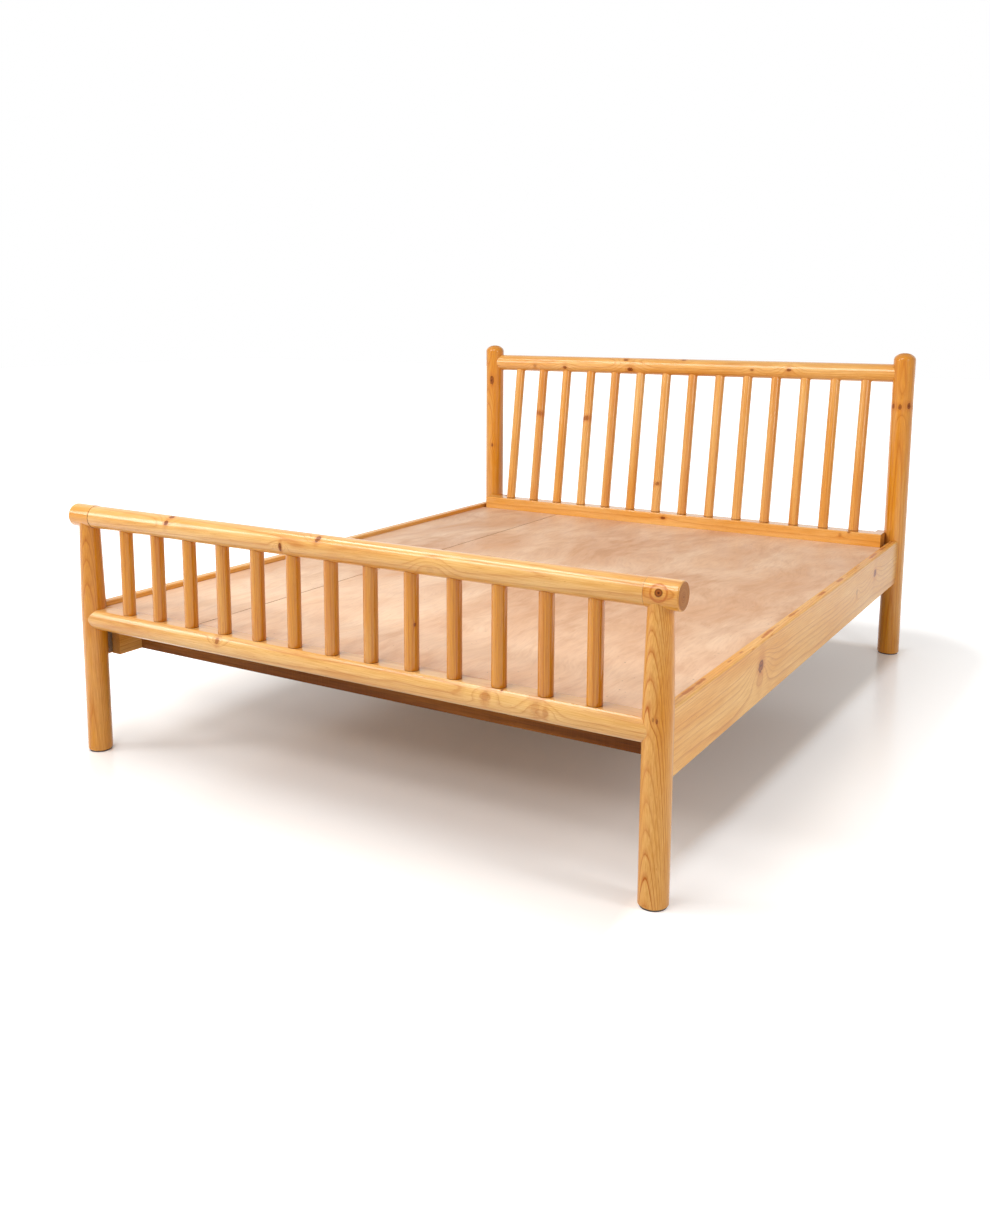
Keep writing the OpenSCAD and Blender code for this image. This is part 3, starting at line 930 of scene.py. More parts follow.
@dataclass(frozen=True)
class JoistFinish:
    """Brown stain over sawn hardwood."""

    light: Colour = srgb("#AE6C26")
    dark: Colour = srgb("#763F08")
    streak: Colour = srgb("#3C1E08")

    def material(self, name: str, effects: Effects) -> bpy.types.Material:
        """Returns the finish of all joists, whose grain runs across the bed."""
        paint = Paint(name)
        place = paint.coordinate("Object")
        turn = {"Vector": place, "Rotation": Run.ACROSS_THE_BED.value}
        turned = paint.value("ShaderNodeMapping", turn, vector_type="TEXTURE")
        wide = paint.use(effects.streaks, {"Vector": turned, "Breadth": 0.030, "Run": 0.55})
        thin = paint.use(effects.streaks, {"Vector": turned, "Breadth": 0.006, "Run": 0.16})
        saw = paint.clouds(place, (420.0, 5.0, 5.0), 0.35, 0.75)
        colour = paint.layer(
            paint.mix(wide["Broad"], self.dark, self.light),
            (thin["Broad"] * 0.45, self.dark),
            (thin["Fine"] ** 3.0 * 0.7, self.streak),
            (saw * 0.10, self.light),
        )
        dull = wide["Fine"].span(0.0, 1.0, 0.52, 0.72)
        feeds = {"Base Color": colour, "Roughness": dull, "Specular IOR Level": 0.2}
        return paint.finish(feeds, saw * 0.5 + thin["Fine"], 0.3, 0.4 * MM)


@dataclass(frozen=True)
class ZincFinish:
    """Bright zinc plate, brushed along the bracket."""

    bright: Colour = srgb("#A9ACB0")
    blue: Colour = srgb("#8A919C")
    straw: Colour = srgb("#A89F86")

    def material(self, name: str, effects: Effects) -> bpy.types.Material:
        """Returns the finish of plates, brackets and screws."""
        paint = Paint(name)
        place = paint.coordinate("Object")
        brush = paint.use(effects.streaks, {"Vector": place, "Breadth": 0.0012, "Run": 0.03})
        stain = paint.clouds(place, (60.0, 60.0, 60.0), 0.35, 0.70, 3.0)
        tint = paint.clouds(place, (90.0, 90.0, 40.0), 0.40, 0.65)
        colour = paint.layer(self.bright, (stain * 0.6, self.blue), (tint * 0.35, self.straw))
        dull = brush["Broad"].span(0.0, 1.0, 0.24, 0.42)
        feeds = {"Base Color": colour, "Roughness": dull, "Metallic": 1.0}
        return paint.finish(feeds, brush["Fine"], 0.15, 0.05 * MM)


@dataclass(frozen=True)
class GlideFinish:
    """Dark moulded glide, scuffed by the floor."""

    body: Colour = srgb("#2E2A28")
    scuff: Colour = srgb("#5A5450")

    def material(self, name: str) -> bpy.types.Material:
        """Returns the finish of the glides."""
        paint = Paint(name)
        place = paint.coordinate("Object")
        worn = paint.clouds(place, (140.0, 140.0, 400.0), 0.50, 0.72, 4.0)
        grit = paint.clouds(place, (1500.0, 1500.0, 1500.0))
        colour = paint.mix(worn, self.body, self.scuff)
        feeds = {"Base Color": colour, "Roughness": worn.span(0.0, 1.0, 0.55, 0.8)}
        return paint.finish(feeds, grit, 0.3, 0.1 * MM)


# ---- Spindle rows -------------------------------------------------------------------------

TENON_SIDES = 24
TENON_LAP = 4 * MM
CREASE_ANGLE = math.radians(32)


def store(geometry: Signal, name: str, value: Signal) -> Signal:
    """Returns a geometry that carries a value under a name."""
    kind = "FLOAT_VECTOR" if is_vector(value) else "FLOAT"
    feeds = {"Geometry": geometry, "Name": name, "Value": value}
    return geometry.bench.value("GeometryNodeStoreNamedAttribute", feeds, data_type=kind)


def recall(bench: Bench, name: str, kind: str) -> Signal:
    """Returns the value that a geometry carries under a name."""
    feeds = {"Name": name}
    return bench.value("GeometryNodeInputNamedAttribute", feeds, "Attribute", data_type=kind)


def make_spindle(bench: Bench) -> Signal:
    """Geometry Nodes: one turned spindle between a lower rail and a round top rail.

    It is drawn along local Z from its shoulder on the lower rail. Its foot is cut to the rake
    and its top is coped to the top rail.

    Args:
        bench: The bench on the tree of the row.

    Returns:
        The spindle, which carries its own coordinates as own_place.
    """
    length, radius, ease, bite = (bench[name] for name in ("Length", "Radius", "Ease", "Bite"))
    rail, rows, tenon_length = bench["Rail Radius"], bench["Rings Along"], bench["Tenon Length"]

    # The spindle's line: closely spaced at both shoulders, even in between
    index = bench.value("GeometryNodeInputIndex")
    is_first, is_last = index < 0.5, index > rows - 1.5
    share = bench.math("DIVIDE", index - 1.0, rows - 3.0, clamp=True)
    level = ease + share * (length - ease * 2.0) - is_first * ease + is_last * ease
    girth = radius - (is_first + is_last) * (ease * 0.6)
    line = bench.value("GeometryNodeMeshLine", {"Count": rows})
    line = bench.value("GeometryNodeSetPosition", {0: line, "Position": bench.join(z=level)})
    line = bench.value("GeometryNodeMeshToCurve", {0: line})
    line = bench.value("GeometryNodeSetCurveRadius", {0: line, "Radius": girth})
    round_of = {"Resolution": bench["Sides"], "Radius": 1.0}
    circle = bench.value("GeometryNodeCurvePrimitiveCircle", round_of)
    sweep = {"Curve": line, "Profile Curve": circle, "Fill Caps": True}
    tube = bench.add("GeometryNodeCurveToMesh", sweep)
    if "Scale" in tube.inputs:
        bench.feed(tube, {"Scale": bench.value("GeometryNodeInputRadius")})

    # The ends: the foot is cut level, whatever the rake, and the top fits round the rail
    place = bench.value("GeometryNodeInputPosition")
    _, y, z = place.split()
    cope = rail - bench.math("SQRT", rail * rail - y * y) + bite
    foot = y * bench.math("TANGENT", bench["Rake"]) - bite
    lift = (z > length - ease * 1.5) * cope + (z < ease * 1.5) * foot
    shaped = {0: Signal(bench, tube.outputs[0]), "Offset": bench.join(z=lift)}
    parts = [bench.value("GeometryNodeSetPosition", shaped)]

    # Round tenons at both ends, hidden in the rails
    half = tenon_length * 0.5
    for middle in (half * -1.0, length + half):
        size = {"Radius": bench["Tenon Radius"], "Depth": tenon_length + TENON_LAP}
        peg = bench.value("GeometryNodeMeshCylinder", {"Vertices": TENON_SIDES, **size})
        move = {0: peg, "Translation": bench.join(z=middle)}
        parts.append(bench.value("GeometryNodeTransform", move))
    whole = bench.add("GeometryNodeJoinGeometry")
    for part in parts:
        bench.feed(whole, {0: part})
    return store(Signal(bench, whole.outputs[0]), "own_place", place)


def make_spindle_row() -> bpy.types.NodeTree:
    """Geometry Nodes: a row of turned spindles.

    Every spindle is the next metre of one log, whose pith circles round the spindle's own line
    from one to the next.
    """
    bench = Bench.group(
        "spindle_row",
        {
            "Count": 13,
            "First": Kind.VECTOR,
            "Last": Kind.VECTOR,
            "Rake": 0.0,
            "Length": 0.2,
            "Radius": 0.0155,
            "Rail Radius": 0.029,
            "Tenon Radius": 0.01,
            "Tenon Length": 0.018,
            "Ease": 0.0012,
            "Bite": 0.0001,
            "Pith Reach": 0.02,
            "Pith Step": 2.4,
            "Wobble": 0.0004,
            "Rings Along": 26,
            "Sides": 48,
            "Material": Kind.MATERIAL,
        },
        "GeometryNodeTree",
    )
    ends = {"Count": bench["Count"], "Start Location": bench["First"], "Offset": bench["Last"]}
    row = bench.value("GeometryNodeMeshLine", ends, mode="END_POINTS")
    row = store(row, "spindle_number", bench.value("GeometryNodeInputIndex"))
    turn = {"Instance": make_spindle(bench), "Rotation": bench.join(bench["Rake"] * -1.0)}
    placed = bench.value("GeometryNodeInstanceOnPoints", {"Points": row, **turn})
    real = bench.value("GeometryNodeRealizeInstances", {0: placed})

    # Grain: the same place in each spindle lies elsewhere in the log
    number, reach = recall(bench, "spindle_number", "FLOAT"), bench["Pith Reach"]
    angle = number * bench["Pith Step"]
    off_x, off_y = bench.math("COSINE", angle) * reach, bench.math("SINE", angle) * reach
    grain = recall(bench, "own_place", "FLOAT_VECTOR") + bench.join(off_x, off_y, number)
    real = store(real, "grain", grain)

    # No two poles are turned quite alike
    drift = bench.wander(grain * (9.0, 9.0, 7.0), 1.0) * (1.0, 1.0, 0.0)
    offset = drift * (bench["Wobble"] * 2.0)
    real = bench.value("GeometryNodeSetPosition", {0: real, "Offset": offset})
    real = bench.value("GeometryNodeSetShadeSmooth", {0: real, "Shade Smooth": True})
    crease = bench.value("GeometryNodeInputMeshEdgeAngle") > CREASE_ANGLE
    sharp = {0: real, "Selection": crease, "Shade Smooth": False}
    real = bench.value("GeometryNodeSetShadeSmooth", sharp, domain="EDGE")
    real = bench.value("GeometryNodeSetMaterial", {0: real, "Material": bench["Material"]})
    return bench.outlet({"Geometry": real}, Kind.GEOMETRY)


def grow(tree: bpy.types.NodeTree, name: str, values: Mapping[str, object]) -> bpy.types.Object:
    """Runs a Geometry Nodes tree and keeps what it makes as a plain mesh.

    Args:
        tree: The tree, which ends in a realized mesh with its material.
        name: The piece's name.
        values: What the tree's named inputs get.

    Returns:
        The piece, at the origin with its place in its mesh.
    """
    holder = bpy.data.objects.new(name + "_holder", bpy.data.meshes.new(name + "_holder"))
    modifier = holder.modifiers.new("grow", "NODES")
    modifier.node_group = tree
    for item in tree.interface.items_tree:
        if item.item_type == "SOCKET" and item.in_out == "INPUT" and item.name in values:
            modifier[item.identifier] = values[item.name]
    bpy.context.scene.collection.objects.link(holder)
    graph = bpy.context.evaluated_depsgraph_get()
    mesh = bpy.data.meshes.new_from_object(
        holder.evaluated_get(graph), preserve_all_data_layers=True, depsgraph=graph
    )
    bpy.data.objects.remove(holder)
    mesh.name = name
    piece = bpy.data.objects.new(name, mesh)
    bpy.context.scene.collection.objects.link(piece)
    return piece


# ---- Sub-assemblies -----------------------------------------------------------------------


@dataclass
class Workshop:
    """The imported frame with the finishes, as every sub-assembly uses them."""

    frame: dict
    effects: Effects = field(default_factory=Effects)
    pine: PineFinish = field(default_factory=PineFinish)
    row_tree: bpy.types.NodeTree = field(default_factory=make_spindle_row)

    def middle(self, node: str) -> Vector:
        """Returns the middle of a node's box."""
        low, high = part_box(node)
        return (low + high) / 2

    def dress(self, node: str, material: bpy.types.Material) -> None:
        """Gives a node its material."""
        for slot in self.frame["nodes"][node].material_slots:
            slot.material = material
        LOG.info("dressed %s with %s", node, material.name)

    def dress_pine(self, cuts: Mapping[str, Cut]) -> None:
        """Gives each node the pine of its own cut."""
        for node, cut in cuts.items():
            grain = SolidGrain(cut, self.middle(node))
            self.dress(node, self.pine.material(f"pine_{node}", grain, self.effects))


@dataclass
class SpindleRow:
    """A row of spindles that stands for the plain ones of the frame.

    Attributes:
        name: The piece's name, which without its last letter begins the names of its nodes.
        top_rail: The node of the round rail that the spindles end under.
        foot_level: Height of the face that the spindles stand on.
        foot_y: Where their lines cross that face, along the bed.
        radius: Radius of a spindle.
        pith_reach: Distance from a spindle's line to its pith.
        pith_step: Angle by which the pith goes round from one spindle to the next.
        cut: How the poles were cut.
        knots: Each knot by the number of its spindle and its place on it.
    """

    name: str
    top_rail: str
    foot_level: float
    foot_y: float
    radius: float
    pith_reach: float
    pith_step: float
    cut: Cut
    knots: tuple[tuple[int, Knot], ...] = ()

    def log_places(self) -> list[tuple[Vector, Knot]]:
        """Returns each knot with its place in the log."""
        found = []
        for number, knot in self.knots:
            angle = number * self.pith_step
            pith = Vector((math.cos(angle), math.sin(angle), 0.0)) * self.pith_reach
            found.append((Vector(knot.at) + pith + Vector((0.0, 0.0, float(number))), knot))
        return found

    def build(self, shop: Workshop) -> None:
        """Turns the row and hides the plain spindles."""
        prefix = self.name[:-1] + "_"
        nodes = sorted(node for node in shop.frame["nodes"] if node.startswith(prefix))
        first, last = shop.middle(nodes[0]), shop.middle(nodes[-1])
        rail_low, rail_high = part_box(self.top_rail)
        rail_radius = (rail_high.z - rail_low.z) / 2
        rail_axis = (rail_low + rail_high) / 2
        rise, run = rail_axis.z - self.foot_level, rail_axis.y - self.foot_y
        grain = RowGrain(self.cut, "grain", self.log_places())
        values = {
            "Count": len(nodes),
            "First": (first.x, self.foot_y, self.foot_level),
            "Last": (last.x, self.foot_y, self.foot_level),
            "Rake": math.atan2(run, rise),
            "Length": math.hypot(rise, run) - rail_radius,
            "Radius": self.radius,
            "Rail Radius": rail_radius,
            "Pith Reach": self.pith_reach,
            "Pith Step": self.pith_step,
            "Material": shop.pine.material(f"pine_{self.name}", grain, shop.effects),
        }
        row = grow(shop.row_tree, self.name, values)
        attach(row, "frame")
        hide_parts(*nodes)
        LOG.info("turned %s: %d spindles, %d faces", self.name, len(nodes), len(row.data.polygons))


class Footboard:
    """The two foot posts, the rails between them and their spindles."""

    cuts: ClassVar[dict[str, Cut]] = {
        "foot_post_left": Cut(
            Run.UPRIGHT, (-0.030, 0.080), (1.4, 0.2), 0.0036, 0.005, 0.90, 1.1, honey=1.1
        ),
        "foot_post_right": Cut(
            Run.UPRIGHT, (0.020, 0.098), (3.2, 0.0), 0.0034, 0.004, 0.945, 1.5, honey=0.74,
            gloss=0.6,
            knots=(
                Knot((0.0026, -0.0314, 0.0774), 0.0050, 0.002, 0.6, 0.0, 0.3),
                Knot((0.0100, -0.0300, 0.0750), 0.0060, 0.002, 0.8, 0.0, 0.3),
            ),
        ),
        "foot_top_rail": Cut(
            Run.ACROSS_THE_BED, (0.010, 0.026), (0.4, -0.5), 0.0058, 0.006, 0.96, 0.8, honey=0.38,
            knots=(
                Knot((-0.4923, -0.0249, 0.0148), 0.0060, 0.006, 1.0, 0.4, 1.0),
                Knot((-0.4882, -0.0086, 0.0277), 0.0070, 0.008, 0.9, 0.3, 0.9),
                Knot((-0.1239, -0.0286, -0.0049), 0.0040, 0.014, 1.0, 0.6, 2.4),
                Knot((-0.0205, -0.0181, 0.0227), 0.0062, 0.012, 0.9),
                Knot((0.2886, -0.0271, -0.0102), 0.0090, 0.016, 0.12, 0.0, 0.8),
            ),
        ),
        "foot_rail_cap_left": Cut(Run.ACROSS_THE_BED, (0.004, 0.006), honey=0.6, seam=0.0169),
        "foot_rail_cap_right": Cut(
            Run.ACROSS_THE_BED, (0.001, -0.002), spacing=0.0036, honey=0.5, seam=-0.0169,
            knots=(Knot((0.0169, -0.0291, 0.0072), 0.0080, 0.003, 1.0, 0.0, 1.0, 0.8),),
        ),
        "foot_lower_rail": Cut(
            Run.ACROSS_THE_BED, (0.004, 0.030), (0.5, 0.7), 0.0062, 0.006, 0.955, 0.8, honey=0.32,
            knots=(
                Knot((-0.3323, -0.0276, 0.0145), 0.0055, 0.010, 0.6),
                Knot((0.4259, -0.0286, 0.0118), 0.0080, 0.010, 0.15, 0.45),
                Knot((0.4599, -0.0169, 0.0274), 0.0026, 0.004, 0.8),
                Knot((0.5451, -0.0296, 0.0080), 0.0095, 0.009, 0.10, 0.35),
                Knot((0.5684, -0.0301, 0.0020), 0.0055, 0.006, 0.15, 0.4),
            ),
        ),
    }

    def build(self, shop: Workshop) -> None:
        """Dresses the posts and rails, and turns the spindles."""
        shop.dress_pine(self.cuts)
        SpindleRow(
            name="foot_spindles",
            top_rail="foot_top_rail",
            foot_level=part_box("foot_lower_rail")[1].z,
            foot_y=shop.middle("foot_spindle_01").y,
            radius=16.75 * MM,
            pith_reach=0.022,
            pith_step=2.4,
            # Painted contact shade rings the foot of each spindle
            cut=Cut(Run.UPRIGHT, (0.0, 0.0), (0.0, 0.0), 0.0050, 0.006, 0.935, 0.9, 1.0, seam=0.0),
            knots=((8, Knot((0.0146, -0.0082, 0.105), 0.0040, 0.002, 0.8, 0.0, 0.6)),),
        ).build(shop)


class Headboard:
    """The two head posts, the rails between them and their raked spindles."""

    cuts: ClassVar[dict[str, Cut]] = {
        "head_post_left": Cut(
            Run.UPRIGHT, (0.018, 0.080), (0.4, -0.3), 0.0036, 0.005, honey=1.05, end_shade=0.2,
            knots=(
                Knot((0.0086, -0.0345, 0.1140), 0.0070, 0.004, 0.8, 0.2, 0.5),
                Knot((0.0060, -0.0350, 0.3774), 0.0210, 0.006, 0.9, 0.2, 0.35),
            ),
        ),
        "head_post_right": Cut(
            Run.UPRIGHT, (-0.016, 0.090), (0.5, 0.3), 0.0036, 0.005, honey=0.95, end_shade=0.2,
            knots=(
                Knot((-0.0230, -0.0270, 0.3390), 0.0080, 0.002, 0.8, 0.45, 0.6),
                Knot((0.0005, -0.0355, 0.3377), 0.0090, 0.003, 0.8, 0.45, 0.6),
                Knot((0.0267, -0.0234, 0.3414), 0.0110, 0.003, 1.0, 0.45, 0.5),
            ),
        ),
        "head_top_rail": Cut(
            Run.ACROSS_THE_BED, (0.014, 0.022), (0.3, 0.4), 0.0054, 0.006, 1.035, 0.8, honey=0.48,
            knots=(
                Knot((0.4169, -0.0304, 0.0026), 0.0080, 0.010, 0.9, 0.3, 0.6),
                Knot((0.2836, -0.0305, -0.0010), 0.0060, 0.006, 0.7, 0.2, 0.6),
                Knot((0.0179, -0.0123, 0.0279), 0.0070, 0.010, 0.9, 0.2, 0.6),
                Knot((-0.1904, -0.0285, -0.0110), 0.0120, 0.012, 0.95, 0.3, 0.55),
                Knot((-0.2123, -0.0201, 0.0230), 0.0080, 0.008, 0.9, 0.1, 0.5),
                Knot((-0.4679, -0.0285, -0.0110), 0.0080, 0.008, 0.85, 0.4, 0.7),
                Knot((-0.6007, -0.0295, -0.0080), 0.0070, 0.008, 0.5, 0.3, 0.7),
            ),
        ),
        "head_lower_rail": Cut(
            Run.ACROSS_THE_BED, (0.030, 0.060), (0.0, 0.0), 0.0050, 0.006, 1.06, 0.7, honey=0.50,
            end_shade=0.5,
            knots=(
                Knot((0.6713, -0.030, 0.0271), 0.0050, 0.003, 0.7, 0.3, 0.8),
                Knot((0.6416, -0.030, 0.0137), 0.0042, 0.003, 0.3, 0.2),
                Knot((-0.0085, -0.030, 0.0117), 0.0100, 0.004, 0.95, 0.15, 0.45),
            ),
        ),
        "head_rail_blocks": Cut(Run.ACROSS_THE_BED, (0.020, 0.040), tone=0.95, honey=0.75),
    }

    def build(self, shop: Workshop) -> None:
        """Dresses the posts and rails, and turns the spindles."""
        shop.dress_pine(self.cuts)
        rail_low, rail_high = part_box("head_lower_rail")
        SpindleRow(
            name="head_spindles",
            top_rail="head_top_rail",
            foot_level=rail_high.z,
            foot_y=(rail_low.y + rail_high.y) / 2,
            radius=17.25 * MM,
            pith_reach=0.019,
            pith_step=2.1,
            # Painted contact shade rings the foot of each spindle
            cut=Cut(Run.UPRIGHT, (0.0, 0.0), (0.0, 0.0), 0.0048, 0.006, 1.03, 0.8, 0.53, seam=0.0),
            knots=(
                (1, Knot((0.003, -0.0170, 0.345), 0.0085, 0.009, 0.35, 0.7, 0.8)),
                (3, Knot((0.003, -0.0170, 0.335), 0.0095, 0.012, 0.6, 0.7, 0.8)),
                (6, Knot((0.006, -0.0162, 0.105), 0.0065, 0.008, 0.6, 0.5, 0.8)),
            ),
        ).build(shop)


class SideRails:
    """The two side rails and the cleats along their inner faces."""

    cuts: ClassVar[dict[str, Cut]] = {
        "side_rail_right": Cut(
            Run.ALONG_THE_BED, (-0.130, 0.070), (0.0, 0.0), 0.0046, 0.007, 1.055, 0.9,
            honey=0.36, gloss=0.2, end_shade=0.3, lanes=((-0.002, 0.0, 0.072),),
            knots=(
                Knot((0.0135, -0.4517, 0.0157), 0.0180, 0.020, 1.0, 0.30, 0.7),
                Knot((0.0135, 0.6797, 0.0232), 0.0160, 0.012, 1.0, 0.2, 0.6),
                Knot((0.0135, 0.4537, 0.0077), 0.0080, 0.010, 0.4, 0.0, 0.8),
            ),
        ),
        "side_rail_left": Cut(
            Run.ALONG_THE_BED, (0.060, -0.040), spacing=0.0060, tone=1.04, honey=0.48, gloss=0.5,
            end_shade=0.3,
        ),
        **{
            f"joist_cleat_{side}": Cut(
                Run.ALONG_THE_BED, (pith, 0.030), (0.6, 0.2), tone=0.95, honey=0.5, end_shade=0.4
            )
            for side, pith in (("right", 0.040), ("left", -0.040))
        },
    }

    def build(self, shop: Workshop) -> None:
        """Dresses the side rails and cleats."""
        shop.dress_pine(self.cuts)


@dataclass
class Deck:
    """The two loose plywood panels."""

    finish: PlywoodFinish = field(default_factory=PlywoodFinish)

    def build(self, shop: Workshop) -> None:
        """Dresses the panels."""
        for node, tone in (("deck_panel_wide", 1.0), ("deck_panel_narrow", 0.95)):
            low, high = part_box(node)
            shop.dress(node, self.finish.material(f"plywood_{node}", low.z, high.z - low.z, tone))


@dataclass
class Underframe:
    """Cross joists under the deck, bed rail fasteners and glides."""

    joist: JoistFinish = field(default_factory=JoistFinish)
    zinc: ZincFinish = field(default_factory=ZincFinish)
    glide: GlideFinish = field(default_factory=GlideFinish)

    def build(self, shop: Workshop) -> None:
        """Dresses the joists, the fasteners and the glides."""
        stained = self.joist.material("joist_wood", shop.effects)
        plated = self.zinc.material("zinc_steel", shop.effects)
        for node in shop.frame["nodes"]:
            if node.startswith("cross_joist"):
                shop.dress(node, stained)
            elif node.startswith(("rail_bracket", "post_plate")) or node.endswith("screws"):
                shop.dress(node, plated)
        shop.dress("post_glides", self.glide.material("glide"))


# ---- Studio -------------------------------------------------------------------------------


@dataclass(frozen=True)
class Softbox:
    """A rectangular white lamp, aimed at a point.

    Attributes:
        name: The lamp's name.
        place: Where it hangs.
        aim: The point that it faces.
        width: Its width in metres.
        height: Its height in metres.
        power: Its power in watts.
    """

    name: str
    place: Triple
    aim: Triple
    width: float
    height: float
    power: float

    def hang(self) -> None:
        """Hangs the lamp."""
        lamp = bpy.data.lights.new(self.name, "AREA")
        lamp.shape = "RECTANGLE"
        lamp.size, lamp.size_y = self.width, self.height
        lamp.energy = self.power
        holder = bpy.data.objects.new(self.name, lamp)
        holder.location = self.place
        ray = Vector(self.aim) - Vector(self.place)
        holder.rotation_euler = ray.to_track_quat("-Z", "Y").to_euler()
        bpy.context.scene.collection.objects.link(holder)


@dataclass
class Studio:
    """White studio: the floor, the lamps, the surroundings and the camera.

    Attributes:
        picture: Width and height of the picture in pixels.
        eye: Where the camera stands.
        yaw: How far it turns left from the bed's length, in radians.
        pitch: How far it looks down, in radians.
        roll: How far it leans, in radians.
        focal: Its focal length in pixels.
        vanishing: Where its line of sight meets the picture, in pixels.
        sensor: Its sensor's width in millimetres.
        floor_size: Length of the floor's sides.
        floor_colour: Colour of the floor.
        floor_roughness: How dull it is, from 0 to 1.
        floor_sheen: How much it mirrors, from 0 to 1.
        floor_glow: Glow of the open floor.
        footprint: Half the size of the bed's place on the floor.
        clear_of_bed: Distances from there at which the glow starts and ends to rise, from the
            painted shadow fill to the open floor's glow.
        under_glow: Painted light that lifts the floor's shadow under the bed.
        under_tint: The warm colour of that painted light.
        lit_side: Where painted light, standing for the light that comes in under the right side,
            begins and is full.
        lit_slant: How much that edge moves along the bed.
        lit_back: Where painted light, standing for the light that comes in under the head, begins
            and is full.
        side_glow: Glow of the floor in that painted light.
        lit_front: Middle of the band of floor that is painted as lit from the front.
        front_reach: Distances from there at which its glow starts and ends to fall.
        front_glow: Glow of that painted band.
        ambient: Strength of the light from all round.
        ambient_colour: Its colour.
        lamps: The lamps.
    """

    picture: tuple[int, int] = (990, 1220)
    eye: Triple = (1.6264, -3.0229, 1.1517)
    yaw: float = 0.5427
    pitch: float = 0.1554
    roll: float = 0.0037
    focal: float = 1154.7
    vanishing: Span = (491.62, 496.91)
    sensor: float = 36.0
    floor_size: float = 40.0
    floor_colour: Colour = (0.90, 0.90, 0.90, 1.0)
    floor_roughness: float = 0.22
    floor_sheen: float = 0.25
    floor_glow: float = 0.9
    footprint: Triple = (0.80, 1.02, 0.0)
    clear_of_bed: Span = (0.0, 0.75)
    # Painted light on the floor: a fill that lifts the shadow under the bed, and bands lit beside
    # and in front of it
    under_glow: float = 0.075
    under_tint: Colour = (1.0, 0.86, 0.72, 1.0)
    lit_side: Span = (0.75, 0.85)
    lit_slant: float = -0.03
    lit_back: Span = (0.98, 1.14)
    side_glow: float = 0.34
    lit_front: float = -0.74
    front_reach: Span = (0.03, 0.22)
    front_glow: float = 0.10
    ambient: float = 0.355
    ambient_colour: Colour = (1.0, 0.95, 0.89, 1.0)
    lamps: tuple[Softbox, ...] = (
        Softbox("overhead", (-1.0, -1.5, 3.4), (0.0, -0.1, 0.3), 3.4, 0.6, 58.0),
        Softbox("front", (-0.7, -3.0, 3.1), (0.0, -0.9, 0.6), 3.4, 0.60, 51.0),
        Softbox("left", (-3.0, -2.8, 2.2), (0.0, -0.4, 0.4), 0.7, 1.6, 28.0),
        Softbox("right", (3.0, -1.0, 1.7), (0.8, 0.0, 0.3), 0.6, 1.4, 22.0),
    )

    def build(self) -> None:
        """Builds the studio."""
        scene = bpy.context.scene
        scene.view_settings.view_transform = "Standard"
        self.set_surroundings(scene)
        self.lay_floor(scene)
        for lamp in self.lamps:
            lamp.hang()
        self.set_camera(scene)

    def set_surroundings(self, scene: bpy.types.Scene) -> None:
        """Lights the bed softly from all round, in front of plain white."""
        world = bpy.data.worlds.new("studio")
        world.use_nodes = True
        world.node_tree.nodes.clear()
        bench = Bench(world.node_tree)
        seen = bench.seen_by("Camera", "Transmission", "Glossy")
        strength = seen.span(0.0, 1.0, self.ambient, 1.0, smooth=False)
        tint = bench.mix(seen, self.ambient_colour, WHITE)
        sky = bench.value("ShaderNodeBackground", {"Color": tint, "Strength": strength})
        bench.add("ShaderNodeOutputWorld", {"Surface": sky})
        scene.world = world

    def lay_floor(self, scene: bpy.types.Scene) -> None:
        """Lays a white floor that keeps the bed's shadow, with painted light that lifts the shadow
        and lights bands beside and in front of the bed.
        """
        mesh = bpy.data.meshes.new("studio_floor")
        form = bmesh.new()
        bmesh.ops.create_grid(form, x_segments=1, y_segments=1, size=self.floor_size / 2)
        form.to_mesh(mesh)
        form.free()
        floor = bpy.data.objects.new("studio_floor", mesh)
        scene.collection.objects.link(floor)
        paint = Paint("studio_floor")
        satin = {"Roughness": self.floor_roughness, "Specular IOR Level": self.floor_sheen}
        paint.feed(paint.shader, {"Base Color": self.floor_colour, **satin})
        place = paint.coordinate("Object")
        x, y, _ = place.split()
        away = paint.math("MAXIMUM", abs(place) - self.footprint, (0.0, 0.0, 0.0)).length()
        # The glow rises from a painted fill under the bed, which lifts its shadow, to the open
        # floor's white
        level = away.span(*self.clear_of_bed, self.under_glow, self.floor_glow)
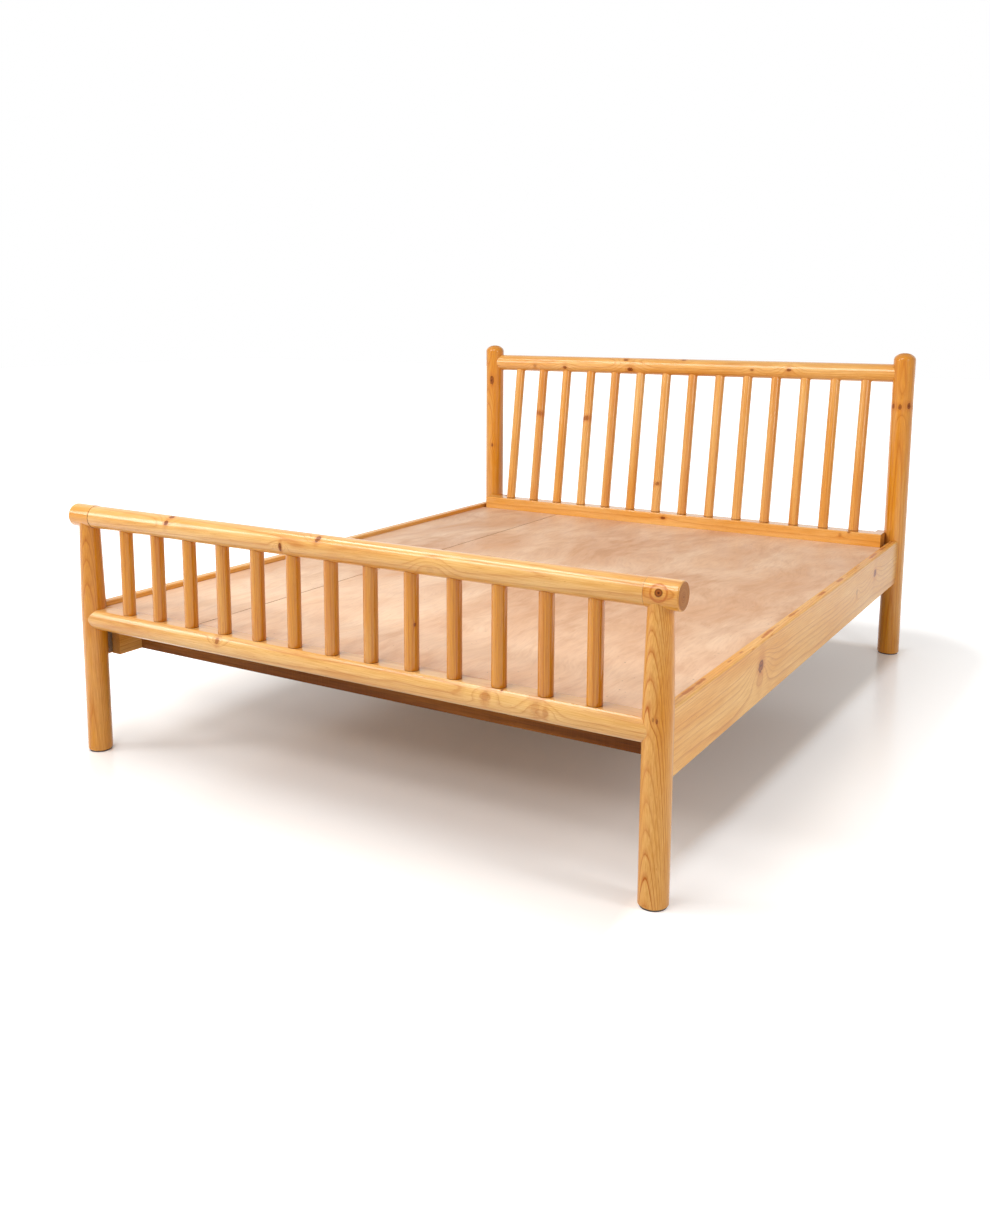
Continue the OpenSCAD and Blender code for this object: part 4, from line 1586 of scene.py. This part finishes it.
        # Painted light: bands of floor lit under the right side and under the head
        slanted = paint.math("MULTIPLY_ADD", y, self.lit_slant, x)
        for depth, reach in ((slanted, self.lit_side), (y, self.lit_back)):
            level = paint.most(level, depth.span(*reach, 0.0, self.side_glow))
        # Painted light: a band under the foot, lit from the front
        level = level + abs(y - self.lit_front).span(*self.front_reach, self.front_glow, 0.0)
        # The painted fill under the bed is warm, like light thrown back by the wood
        tint = paint.mix(level.span(self.under_glow, self.side_glow), self.under_tint, WHITE)
        glow = {"Color": tint, "Strength": paint.seen_by("Camera", "Glossy") * level}
        both = {0: paint.surface, 1: paint.value("ShaderNodeEmission", glow)}
        paint.feed(paint.output, {"Surface": paint.value("ShaderNodeAddShader", both)})
        mesh.materials.append(paint.material)

    def set_camera(self, scene: bpy.types.Scene) -> None:
        """Sets the camera at the viewing angle."""
        width, height = self.picture
        data = bpy.data.cameras.new("view")
        data.sensor_width = self.sensor
        data.lens = self.focal / height * self.sensor
        data.shift_x = (width / 2 - self.vanishing[0]) / height
        data.shift_y = (self.vanishing[1] - height / 2) / height
        data.clip_start, data.clip_end = 0.05, 100.0
        camera = bpy.data.objects.new("view", data)
        flat, down = math.cos(self.pitch), -math.sin(self.pitch)
        ahead = Vector((-math.sin(self.yaw) * flat, math.cos(self.yaw) * flat, down))
        side = ahead.cross(Vector((0.0, 0.0, 1.0))).normalized()
        up = side.cross(ahead)
        right = side * math.cos(self.roll) + up * math.sin(self.roll)
        above = up * math.cos(self.roll) - side * math.sin(self.roll)
        turn = Matrix((right, above, -ahead)).transposed()
        camera.matrix_world = Matrix.Translation(self.eye) @ turn.to_4x4()
        scene.collection.objects.link(camera)
        scene.camera = camera


# ---- Assembly -----------------------------------------------------------------------------


def main() -> None:
    """Dresses the bed and builds the studio."""
    logging.basicConfig(level=logging.INFO, format="%(name)s: %(message)s")
    for leftover in list(bpy.data.objects):
        bpy.data.objects.remove(leftover)
    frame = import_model()
    shop = Workshop(frame)
    for assembly in (Footboard(), Headboard(), SideRails(), Deck(), Underframe()):
        assembly.build(shop)
    Studio().build()


if __name__ == "__main__":
    main()
